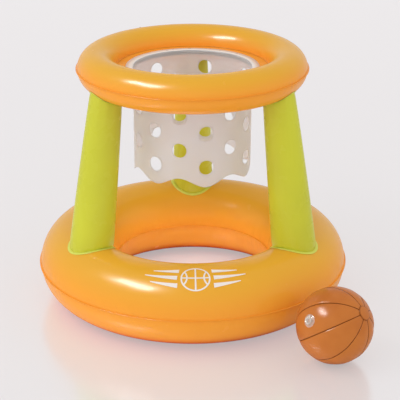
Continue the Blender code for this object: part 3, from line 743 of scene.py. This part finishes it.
def weld_loops(turn, which, inside, width):
    """Loops of a weld rim on a ring's tube, from inside a column's wall to outside it."""
    loops = []
    for reach in (-inside, 0.0, width * WELD_BEND, width):
        loop = []
        for swing, out, low, high in column_ends(turn):
            wobble = WELD_WOBBLE * circling(math.cos(swing), math.sin(swing), WELD_BEAT, turn)
            start = (low if which == "base" else high) + out * (reach + wobble)
            inwards = into_torus(start, which)
            loop.append(landed(start, inwards, lambda spot: torus_gap(spot, which), WELD_CLEAR))
        loops.append(loop)
    return loops


class HOOP_OT_columns(bpy.types.Operator):
    """Make the three leaning columns and their weld rims"""
    bl_idname = "hoop.columns"
    bl_label = "Columns"

    def execute(self, context):
        sizes = context.scene.hoop_columns
        sheet = context.scene.hoop_rings.sheet
        green, pale = column_finish(), weld_finish()
        for name, turn in COLUMN_TURNS.items():
            foot, axis, _, reach = column_axis(turn)
            bm = bridged(column_loops(turn))
            outward(bm, foot + axis * reach / 2)
            stand_in("column_%s_skin" % name, bm, "hoop", green, sheet)
            for end, which, inside, width, beyond in (
                    ("foot", "base", FOOT_WELD_INSIDE, sizes.foot_weld, foot - axis),
                    ("neck", "top", NECK_WELD_INSIDE, sizes.neck_weld, foot + axis * (reach + 1))):
                bm = bridged(weld_loops(turn, which, inside, width))
                outward(bm, beyond)
                stand_in("column_%s_%s_weld" % (name, end), bm, "hoop", pale, sheet)
        return {"FINISHED"}


# Net

HOLE_STEPS = 2  # mesh steps from a hole's middle to its edge
HOLE_PULLS = {2: (1.035, 1.0), 3: (1.5, 0.35)}  # mesh steps: share of the hole's radius, pull to it
WEB_RIPPLE = 0.0006
WEB_BEAT = 9
BORDER_BEND = 0.0012  # radius of the bend from the leg to the rim


def net_depth():
    sizes = bpy.context.scene.hoop_net
    return sizes.row_spacing * sizes.rows + sizes.lobe_reach


def net_edge(swing):
    """Depth of the net's lower edge below its top, deepest at each scallop's tip."""
    sizes = bpy.context.scene.hoop_net
    wave = (1 - math.cos(swing * sizes.lobes)) / 2
    return net_depth() - sizes.lobe_depth * wave


def net_holes():
    """Column and row of each hole's middle in the net's grid, the rows staggered."""
    sizes = bpy.context.scene.hoop_net
    holes = []
    for row in range(1, sizes.rows + 1):
        shift = 0 if (sizes.rows - row) % 2 == 0 else NET_LOBE_STEPS // 2
        holes += [(lobe * NET_LOBE_STEPS + shift, row * NET_ROW_STEPS) for lobe in range(sizes.lobes + 1)]
    return holes


def rounded_off(column, row, holes, wide, tall):
    """Pulls a grid point near a hole on to a circle about the hole's middle."""
    radius = bpy.context.scene.hoop_net.hole / 2
    for x, y in holes:
        off_x, off_y = round(column - x), round(row - y)
        ring = max(abs(off_x), abs(off_y))
        if ring in HOLE_PULLS:
            size, pull = HOLE_PULLS[ring]
            swing = math.atan2(off_y * tall, off_x * wide)
            column += (x + math.cos(swing) * radius * size / wide - column) * pull
            row += (y + math.sin(swing) * radius * size / tall - row) * pull
    return column, row


def net_mesh(top):
    """A grid with round holes, wrapped into a tube with a scalloped lower edge."""
    sizes = bpy.context.scene.hoop_net
    radius = sizes.diameter / 2
    around = NET_LOBE_STEPS * sizes.lobes
    last = NET_ROW_STEPS * sizes.rows + HOLE_STEPS
    down = last + NET_EDGE_STEPS
    wide = math.tau * radius / around
    tall = sizes.row_spacing / NET_ROW_STEPS
    holes = net_holes()
    bm = bmesh.new()
    bmesh.ops.create_grid(bm, x_segments=around, y_segments=down, size=0.5)
    place = {vert: ((vert.co.x + 0.5) * around, (0.5 - vert.co.y) * down) for vert in bm.verts}
    cut = []
    for face in bm.faces:
        column = sum(place[vert][0] for vert in face.verts) / 4
        row = sum(place[vert][1] for vert in face.verts) / 4
        if any(abs(column - x) < HOLE_STEPS and abs(row - y) < HOLE_STEPS for x, y in holes):
            cut.append(face)
    bmesh.ops.delete(bm, geom=cut, context="FACES")
    spin = Matrix.Rotation(sizes.turn - math.pi / 2, 3, "Z")
    for vert in bm.verts:
        column, row = rounded_off(*place[vert], holes, wide, tall)
        swing = math.tau * column / around
        fall = row * tall
        if row > last:
            fall = last * tall + (net_edge(swing) - last * tall) * (row - last) / (down - last)
        sway = 0.6 * math.sin(3 * swing + 0.7) + 0.4 * math.sin(5 * swing + 2.1) - 0.6
        out = radius + sizes.wave * (fall / net_depth()) ** 1.5 * sway
        vert.co = top + spin @ Vector((out * math.cos(swing), out * math.sin(swing), -fall))
    outward(bm, top)
    return bm


def make_web():
    """The flat web in the top ring's inner seam, with its edge clear of the net."""
    web_low, web_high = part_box("net_web")
    radius = bpy.context.scene.hoop_net.diameter / 2
    outside = (web_high.x - web_low.x) / 2
    rise = (web_high.z + web_low.z) / 2
    inside = radius + WEB_CLEAR
    reaches = [inside + (outside - inside) * row / WEB_ROWS for row in range(WEB_ROWS + 1)]
    bm = spun([(reach, rise) for reach in reaches], WEB_STEPS)
    for vert in bm.verts:
        swing = math.atan2(vert.co.y, vert.co.x)
        share = (math.hypot(vert.co.x, vert.co.y) - radius) / (outside - radius)
        ripple = circling(math.cos(swing), math.sin(swing), WEB_BEAT, 1)
        vert.co.z += WEB_RIPPLE * math.sin(share * math.pi) * ripple
    outward(bm, Vector((0, 0, rise - 1)))
    bmesh.ops.translate(bm, verts=bm.verts, vec=hoop_centre())
    sheet = bpy.context.scene.hoop_rings.sheet
    web = stand_in("net_web", bm, "hoop", bpy.data.materials["top_ring_vinyl"], sheet)
    web.modifiers["sheet"].offset = 0.0


def make_border():
    """The white band: a leg round the net's top, bent over to a flat rim on the web."""
    low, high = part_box("net_border")
    inside = bpy.context.scene.hoop_net.diameter / 2 + CLEAR
    flange = (high.x - low.x) / 2
    bm = spun([(inside, low.z), (inside, high.z - BORDER_BEND),
               (inside + BORDER_BEND / 3, high.z - BORDER_BEND / 4), (inside + BORDER_BEND, high.z),
               (flange, high.z)], BORDER_STEPS)
    outward(bm, Vector((0, 0, low.z)))
    bmesh.ops.reverse_faces(bm, faces=bm.faces)
    bmesh.ops.translate(bm, verts=bm.verts, vec=hoop_centre())
    sheet = bpy.context.scene.hoop_rings.sheet
    border = stand_in("net_border", bm, "hoop", white_finish("border_vinyl"), sheet)
    border.modifiers["sheet"].offset = 1.0
    return border


def make_net():
    _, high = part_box("net_panel")
    net = stand_in("net_panel", net_mesh(hoop_centre(high.z)), "hoop", net_finish())
    smooth = net.modifiers.new("smooth", "SUBSURF")
    smooth.levels = smooth.render_levels = 1
    wall = net.modifiers.new("sheet", "SOLIDIFY")
    wall.thickness = bpy.context.scene.hoop_net.sheet
    wall.offset = -1.0
    return net


class HOOP_OT_net(bpy.types.Operator):
    """Make the perforated net, its white border and the web that carries them"""
    bl_idname = "hoop.net"
    bl_label = "Net"

    def execute(self, context):
        make_web()
        border = make_border()
        net = make_net()
        return {"FINISHED"}


# Ball

CREASE_REACH = 0.0035
PANEL_SWELL = 0.0003
PANEL_BEAT = 5
PANEL_LANE = 3.7  # between the noise of one panel and the next
PATCH_LIFT = 0.0009  # of the pole patch above the ball's sphere
PATCH_DROP = 0.0005  # of the patch's edge
PATCH_DROP_ROWS = 2


def ball_place():
    """Centre and turn of the ball: its own Z runs through the two poles."""
    centres = [(low + high) / 2 for low, high in PATCH_BOXES]
    centre = (centres[0] + centres[1]) / 2
    pole = (centres[0] - centres[1]).normalized()
    return centre, Euler((0, math.acos(pole.z), math.atan2(pole.y, pole.x)))


def panel_mesh(index):
    """One panel of the ball, creased at its seams and drawn in under the pole patches."""
    sizes = bpy.context.scene.hoop_ball
    radius = sizes.diameter / 2
    width = math.tau / sizes.panels
    start = math.asin((sizes.cap - 2 * PATCH_LAP) / sizes.diameter)
    bm = bmesh.new()
    bmesh.ops.create_grid(bm, x_segments=PANEL_STEPS, y_segments=PANEL_ROWS, size=0.5)
    for vert in bm.verts:
        turn = vert.co.x * (width - CLEAR / radius)
        polar = start + (math.pi - 2 * start) * (0.5 - vert.co.y)
        from_seam = (width / 2 - abs(turn)) * math.sin(polar) * radius
        crease = sizes.crease * math.exp(-from_seam / CREASE_REACH)
        swell = PANEL_SWELL * noise.noise(Vector((turn * PANEL_BEAT, polar * PANEL_BEAT, index * PANEL_LANE)))
        azimuth = turn + sizes.roll + width * index
        flat = math.sin(polar)
        out = Vector((flat * math.cos(azimuth), flat * math.sin(azimuth), math.cos(polar)))
        vert.co = out * (radius - crease + swell - CLEAR)
    outward(bm, Vector())
    return bm


def patch_mesh(side):
    """The round patch over one pole of the ball, with its edge pressed down."""
    sizes = bpy.context.scene.hoop_ball
    radius = sizes.diameter / 2
    edge = math.asin(sizes.cap / sizes.diameter)
    profile = []
    for row in range(PATCH_ROWS + 1):
        polar = edge * row / PATCH_ROWS
        near_edge = max(0.0, 1 - (PATCH_ROWS - row) / PATCH_DROP_ROWS)
        arm = radius + PATCH_LIFT - PATCH_DROP * near_edge ** 2
        profile.append((arm * math.sin(polar), side * arm * math.cos(polar)))
    bm = spun(profile, PATCH_STEPS)
    outward(bm, Vector())
    return bm


class HOOP_OT_ball(bpy.types.Operator):
    """Make the panels and pole patches of the ball"""
    bl_idname = "hoop.ball"
    bl_label = "Ball"

    def execute(self, context):
        sizes, sheet = context.scene.hoop_ball, context.scene.hoop_rings.sheet
        centre, turn = ball_place()
        place = Matrix.LocRotScale(centre, turn, None)
        brown = ball_finish(centre, turn)
        for index in range(sizes.panels):
            bm = panel_mesh(index)
            bmesh.ops.transform(bm, matrix=place, verts=bm.verts)
            for vert in bm.verts:
                vert.co.z = max(vert.co.z, 0.0)
            stand_in("ball_panel_%d" % (index + 1), bm, "ball", brown, sheet, sharp=60.0)
        for name, side in (("upper", 1), ("lower", -1)):
            bm = patch_mesh(side)
            bmesh.ops.transform(bm, matrix=place, verts=bm.verts)
            stand_in("ball_%s_patch" % name, bm, "ball", brown, sheet)
        return {"FINISHED"}


# Valves

VALVE_BEND = math.radians(50)  # edges sharper than this are rounded
STEM_ROUNDING = 0.0003
PLUG_ROUNDING = 0.0002
DISC_EDGE = 0.96  # share of a disc's radius beyond which its faces belong to the edge
STRAP_START = 0.0013  # from the plug's edge out to the strap's full width
STRAP_END = 0.0005  # how far the strap runs past the hinge
STRAP_THICK = 0.8  # share of the thickness of the plug's head
STRAP_END_THICK = 0.7
SHANK_ROWS = 4


def valve_seat(name):
    """Frame of a valve, from its joints: Z out of the skin and X away from the plug's hinge."""
    normal = Vector(JOINTS[name + "_slide"]["axis"]).normalized()
    hinge = JOINTS[name + "_plug_hinge"]
    side = -Vector(hinge["axis"]).normalized()
    forward = side.cross(normal)
    matrix = Matrix((forward, side, normal)).transposed().to_4x4()
    matrix.translation = Vector(hinge["pos_m"]) + forward * HINGE_REACH - normal * HINGE_HEIGHT
    return matrix


def skin_gap(name, spot):
    """How far a point of the part lies outside the skin that a valve sits on."""
    if name == "ball_valve":
        centre, _ = ball_place()
        return (spot - centre).length - bpy.context.scene.hoop_ball.diameter / 2
    return torus_gap(spot, name.split("_")[0])


def rounded(bm, width):
    edges = [edge for edge in bm.edges if edge.is_manifold and edge.calc_face_angle() > VALVE_BEND]
    bmesh.ops.bevel(bm, geom=edges, offset=width, affect="EDGES", segments=2, profile=0.5, material=-1)


def valve_flange(name, seat):
    """The welded disc round the stem, with a stepped rim, bent over the skin."""
    hole, band = STEM_RADIUS + CLEAR, FLANGE_TOP - FLANGE_STEP
    profile = [(hole, FLANGE_LOW), (hole, FLANGE_TOP), (FLANGE_STEP_RADIUS, FLANGE_TOP),
               (FLANGE_STEP_RADIUS + FLANGE_STEP_SLOPE, band), (FLANGE_BAND_RADIUS, band),
               (FLANGE_RADIUS - FLANGE_EDGE, band - FLANGE_THIN), (FLANGE_RADIUS, FLANGE_LOW + FLANGE_THIN)]
    loops = []
    for radius, clearance in profile:
        loop = []
        for index in range(FLANGE_STEPS):
            swing = math.tau * index / FLANGE_STEPS
            start = seat @ Vector((radius * math.cos(swing), radius * math.sin(swing), RIM_TOP))
            loop.append(landed(start, -seat.col[2].xyz, lambda spot: skin_gap(name, spot), clearance))
        loops.append(loop)
    bm = bridged(loops)
    outward(bm, seat @ Vector((0, 0, -0.05)))
    return bm


def strap(bm, radius, low, high, reaches):
    """Draws the -X edge of a disc out into a rounded strap."""
    middle, half = (low + high) / 2, (high - low) / 2
    faces = []
    for face in bm.faces:
        spot = face.calc_center_median()
        if low < spot.z < high and spot.x < -radius * DISC_EDGE and abs(face.normal.z) < 0.5:
            faces.append(face)
    for reach, thick in reaches:
        grown = bmesh.ops.extrude_face_region(bm, geom=faces)["geom"]
        bmesh.ops.delete(bm, geom=faces, context="FACES")
        faces = [item for item in grown if isinstance(item, bmesh.types.BMFace)]
        spread = max(abs(vert.co.y) for face in faces for vert in face.verts)
        for vert in {vert for face in faces for vert in face.verts}:
            height = middle + math.copysign(half * thick, vert.co.z - middle)
            vert.co = (-reach, vert.co.y / spread * STRAP_HALF, height)
    outward(bm)


def valve_stem():
    """Tube with an outer rim, which has an ear for the plug's hinge, and an inner lip."""
    bm = spun([(BORE_RADIUS, RIM_TOP), (RIM_RADIUS, RIM_TOP), (RIM_RADIUS, RIM_LOW), (STEM_RADIUS, RIM_LOW),
               (STEM_RADIUS, LIP_TOP), (LIP_RADIUS, LIP_TOP), (LIP_RADIUS, STEM_BOTTOM),
               (BORE_RADIUS, STEM_BOTTOM)], VALVE_STEPS, closed=True)
    outward(bm)
    strap(bm, RIM_RADIUS, RIM_LOW, RIM_TOP, [(HINGE_REACH + CLEAR, 1.0), (HINGE_REACH + EAR_REACH, 1.0)])
    rounded(bm, STEM_ROUNDING)
    return bm


def valve_plug():
    """Disc head with a raised grip ring, a rounded shank and a strap to the hinge."""
    ridge = PLUG_HALF + GRIP_HEIGHT
    profile = [(0, PLUG_HALF), (GRIP_INSIDE, PLUG_HALF), (GRIP_INSIDE + GRIP_SLOPE, ridge),
               (GRIP_OUTSIDE - GRIP_SLOPE, ridge), (GRIP_OUTSIDE, PLUG_HALF), (PLUG_RADIUS, PLUG_HALF),
               (PLUG_RADIUS, -PLUG_HALF)]
    for row in range(SHANK_ROWS + 1):
        depth = PLUG_HALF + SHANK_LENGTH * row / SHANK_ROWS
        shank = math.sqrt((HINGE_REACH + BORE_RADIUS) ** 2 - depth ** 2) - HINGE_REACH - CLEAR
        profile.append((shank, -depth))
    profile.append((0, -PLUG_HALF - SHANK_LENGTH))
    bm = spun(profile, VALVE_STEPS)
    outward(bm)
    strap(bm, PLUG_RADIUS, -PLUG_HALF, PLUG_HALF,
          [(PLUG_RADIUS + STRAP_START, STRAP_THICK), (HINGE_REACH, STRAP_THICK),
           (HINGE_REACH + STRAP_END, STRAP_END_THICK)])
    rounded(bm, PLUG_ROUNDING)
    return bm


def valve_flap():
    profile = [(0, FLAP_HALF), (STEM_RADIUS, FLAP_HALF), (STEM_RADIUS, -FLAP_HALF), (0, -FLAP_HALF)]
    bm = spun(profile, VALVE_STEPS)
    outward(bm)
    rounded(bm, FLAP_HALF / 2)
    return bm


class HOOP_OT_valves(bpy.types.Operator):
    """Make the three push-in valves with their plugs and check flaps"""
    bl_idname = "hoop.valves"
    bl_label = "Valves"

    def execute(self, context):
        clear = clear_finish()
        for name, carrier in VALVES.items():
            seat = valve_seat(name)
            stand_in(name + "_flange", valve_flange(name, seat), carrier, clear)
            for piece, bm, height in (("stem", valve_stem(), 0.0), ("plug", valve_plug(), HINGE_HEIGHT),
                                      ("flap", valve_flap(), FLAP_HEIGHT)):
                place = seat @ Matrix.Translation((0, 0, height))
                bmesh.ops.transform(bm, matrix=place, verts=bm.verts)
                node = "%s_%s" % (name, piece)
                stand_in(node, bm, node, clear)
        return {"FINISHED"}


# Print

PRINT_LIFT = 0.00025  # of the ink above the vinyl
PRINT_THICKNESS = 0.0001
CROSS_LAP = 0.6  # of a straight line's end under the sign's ring, in line widths
ARC_RADIUS = 0.83  # of the two curved lines, in radii of the sign, as are the next values
ARC_OFFSET = 1.4
ARC_HALF = math.radians(43)
STRIPE_RISE = 0.62
STRIPE_WIDTH = 0.34
STRIPE_TAPER = 0.8  # share of its width that a stripe loses
STRIPE_SLANT = 0.25  # share of its height that a stripe loses
STRIPE_ENDS = ((-1, 1.16, 0.86), (0, 1.22, 1.0), (1, 1.16, 0.86))  # level, start in radii, end in half widths


def ink(bm, across, down, shape):
    """Adds a small grid whose points follow shape(s, t), in metres right and up on the print."""
    before = set(bm.verts)
    bmesh.ops.create_grid(bm, x_segments=across, y_segments=down, size=0.5)
    for vert in set(bm.verts) - before:
        vert.co = (*shape(vert.co.x + 0.5, vert.co.y + 0.5), 0)


def print_shapes():
    """A plain ball sign between two fans of tapered stripes."""
    sizes = bpy.context.scene.hoop_print
    half, radius = sizes.width / 2, sizes.height / 2
    inner = radius - sizes.line * CROSS_LAP
    bm = bmesh.new()

    def ring(s, t):
        arm, swing = radius - sizes.line * t, math.tau * s
        return arm * math.cos(swing), arm * math.sin(swing)

    ink(bm, 64, 2, ring)
    ink(bm, 2, 20, lambda s, t: ((s - 0.5) * sizes.line, (t - 0.5) * 2 * inner))
    ink(bm, 20, 2, lambda s, t: ((s - 0.5) * 2 * inner, (t - 0.5) * sizes.line))
    for side in (1, -1):

        def arc(s, t):
            arm, swing = radius * ARC_RADIUS + (t - 0.5) * sizes.line, (s - 0.5) * 2 * ARC_HALF
            return side * (arm * math.cos(swing) - radius * ARC_OFFSET), arm * math.sin(swing)

        ink(bm, 20, 2, arc)
        for level, start, end in STRIPE_ENDS:

            def stripe(s, t):
                x = radius * start + (half * end - radius * start) * s
                middle = level * radius * STRIPE_RISE * (1 - STRIPE_SLANT * s)
                return side * x, middle + (t - 0.5) * radius * STRIPE_WIDTH * (1 - STRIPE_TAPER * s)

            ink(bm, 24, 2, stripe)
    bmesh.ops.remove_doubles(bm, verts=bm.verts, dist=MERGE_DISTANCE)
    return bm


class HOOP_OT_print(bpy.types.Operator):
    """Print the plain white sign on the front of the base ring"""
    bl_idname = "hoop.print"
    bl_label = "Front Print"

    def execute(self, context):
        sizes = context.scene.hoop_print
        centre, major, minor = ring_facts("base")
        arm = minor + PRINT_LIFT
        straight = major + minor * math.cos(sizes.tilt)
        bm = print_shapes()
        for vert in bm.verts:
            up = sizes.tilt + vert.co.y / minor
            swing = vert.co.x / straight - math.pi / 2 + sizes.turn
            reach = major + arm * math.cos(up)
            vert.co = centre + Vector((reach * math.cos(swing), reach * math.sin(swing), arm * math.sin(up)))
        bmesh.ops.recalc_face_normals(bm, faces=bm.faces)
        for face in bm.faces:
            if face.normal.dot(into_torus(face.calc_center_median(), "base")) > 0:
                face.normal_flip()
        bmesh.ops.solidify(bm, geom=bm.faces, thickness=PRINT_THICKNESS)
        piece_of("base_ring_print", bm, "hoop", white_finish("print_ink"))
        return {"FINISHED"}


# Stage

SKY = (1.0, 0.99, 0.985)
COOL = (0.88, 0.96, 1.0)
STAGE_MIDDLE = 0.27  # height that the lamps point at
FLOOR_GAP = 0.0003  # from the hoop's flat foot down to the floor
KEY_PLACE = Vector((-0.55, -0.34, 0.78)) * 2.6  # from the stage's middle
FILL_PLACE = Vector((-0.25, -1.0, 0.6)) * 3.0
SIDE_PLACE = Vector((1.0, -0.2, 0.35)) * 2.6
HOLE_SPREAD = math.radians(70)
SENSOR_WIDTH = 36
CAMERA_AIM = Vector((0.004, -0.02, 0.218))  # from the part's middle, and in Y from the hoop's axis


def make_floor():
    scene = bpy.context.scene
    tints = scene.hoop_colours
    bm = bmesh.new()
    bmesh.ops.create_circle(bm, cap_ends=True, segments=FLOOR_STEPS, radius=scene.hoop_stage.floor_radius)
    mesh = bpy.data.meshes.new("floor")
    bm.to_mesh(mesh)
    bm.free()
    floor = bpy.data.objects.new("floor", mesh)
    floor.location.z = -FLOOR_GAP
    scene.collection.objects.link(floor)
    made = Finish("floor_finish", FLOOR)
    seen = made.node("ShaderNodeLightPath", {}, {}, "Is Camera Ray")
    pale = made.mix(made.cloud(made.place(), scale=1.5) * 0.04, tuple(tints.floor), tuple(tints.deep_floor))
    made.put(made.inputs["Emission Color"], made.mix(seen, BLACK, pale))
    made.put(made.inputs["Base Color"], made.mix(seen * 0.6, pale, BLACK))
    floor.data.materials.append(made.material)


def make_world():
    """Soft light from all sides, with a plain pale backdrop where it is seen or mirrored."""
    scene = bpy.context.scene
    scene.world = bpy.data.worlds.new("studio")
    scene.world.use_nodes = True
    made = Shading(scene.world.node_tree)
    made.tree.nodes.remove(made.tree.nodes["Background"])
    light = made.node("ShaderNodeBackground", {}, {"Color": SKY, "Strength": scene.hoop_stage.daylight})
    shown = made.node("ShaderNodeBackground", {}, {"Color": tuple(scene.hoop_colours.floor)})
    seen = made.node("ShaderNodeLightPath", {}, {}, "Is Camera Ray")
    for ray in ("Is Glossy Ray", "Is Transmission Ray"):
        seen = seen.maths("MAXIMUM", made.node("ShaderNodeLightPath", {}, {}, ray))
    swap = made.node("ShaderNodeMixShader", {}, {0: seen, 1: light, 2: shown})
    made.put(made.tree.nodes["World Output"].inputs["Surface"], swap)


def lamp(name, away, size, energy, target):
    """A rectangular lamp, so many metres wide and deep, that points at its target."""
    data = bpy.data.lights.new(name, "AREA")
    data.shape = "RECTANGLE"
    data.size, data.size_y = size
    data.energy = energy
    made = bpy.data.objects.new(name, data)
    made.location = target + away
    made.rotation_euler = (-away).to_track_quat("-Z", "Y").to_euler()
    bpy.context.scene.collection.objects.link(made)
    return made


def make_lamps():
    powers = bpy.context.scene.hoop_stage
    middle = hoop_centre(STAGE_MIDDLE)
    lamp("key", KEY_PLACE, (1.4, 0.7), powers.key, middle)
    lamp("shine", KEY_PLACE, (1.3, 0.5), powers.shine, middle).visible_diffuse = False
    lamp("fill", FILL_PLACE, (4.0, 1.8), powers.fill, middle).visible_glossy = False
    for side in (-1.0, 1.0):
        away = Vector((side * SIDE_PLACE.x, SIDE_PLACE.y, SIDE_PLACE.z))
        lamp("side", away, (2.0, 1.6), powers.side, middle).visible_glossy = False
    hole = lamp("hole", UP * STAGE_MIDDLE, (0.2, 0.2), powers.hole, hoop_centre())
    hole.data.color = COOL
    hole.data.spread = HOLE_SPREAD
    hole.visible_camera = hole.visible_glossy = False


def make_camera():
    scene = bpy.context.scene
    settings = scene.hoop_stage
    data = bpy.data.cameras.new("camera")
    data.lens = settings.lens
    data.sensor_width = SENSOR_WIDTH
    camera = bpy.data.objects.new("camera", data)
    camera.location = hoop_centre() + Vector((0, -settings.camera_distance, settings.camera_height))
    aim = Vector((CAMERA_AIM.x, hoop_centre().y + CAMERA_AIM.y, CAMERA_AIM.z))
    camera.rotation_euler = (aim - camera.location).to_track_quat("-Z", "Y").to_euler()
    scene.collection.objects.link(camera)
    scene.camera = camera


class HOOP_OT_stage(bpy.types.Operator):
    """Set the pale floor, the soft light and the camera"""
    bl_idname = "hoop.stage"
    bl_label = "Stage"

    def execute(self, context):
        make_floor()
        make_world()
        make_lamps()
        make_camera()
        context.scene.view_settings.view_transform = "Standard"
        return {"FINISHED"}


OPERATORS = (HOOP_OT_rings, HOOP_OT_columns, HOOP_OT_net, HOOP_OT_ball, HOOP_OT_valves, HOOP_OT_print,
             HOOP_OT_stage)


class HOOP_PT_panel(bpy.types.Panel):
    bl_idname = "HOOP_PT_panel"
    bl_label = "Pool Basketball Hoop"
    bl_space_type = "VIEW_3D"
    bl_region_type = "UI"
    bl_category = "Hoop"

    def draw(self, context):
        column = self.layout.column()
        for name, group in GROUPS.items():
            column.label(text=group.__name__)
            for key in group.__annotations__:
                column.prop(getattr(context.scene, name), key)
        for operator in OPERATORS:
            column.operator(operator.bl_idname)


def register():
    for group in GROUPS.values():
        bpy.utils.register_class(group)
    for name, group in GROUPS.items():
        setattr(bpy.types.Scene, name, PointerProperty(type=group))
    for operator in OPERATORS + (HOOP_PT_panel,):
        bpy.utils.register_class(operator)


def unregister():
    for operator in reversed(OPERATORS + (HOOP_PT_panel,)):
        bpy.utils.unregister_class(operator)
    for name, group in GROUPS.items():
        delattr(bpy.types.Scene, name)
        bpy.utils.unregister_class(group)


def main():
    register()
    bpy.ops.hoop.rings()
    bpy.ops.hoop.columns()
    bpy.ops.hoop.net()
    bpy.ops.hoop.ball()
    bpy.ops.hoop.valves()
    bpy.ops.hoop.print()
    bpy.ops.hoop.stage()


if __name__ == "__main__":
    main()
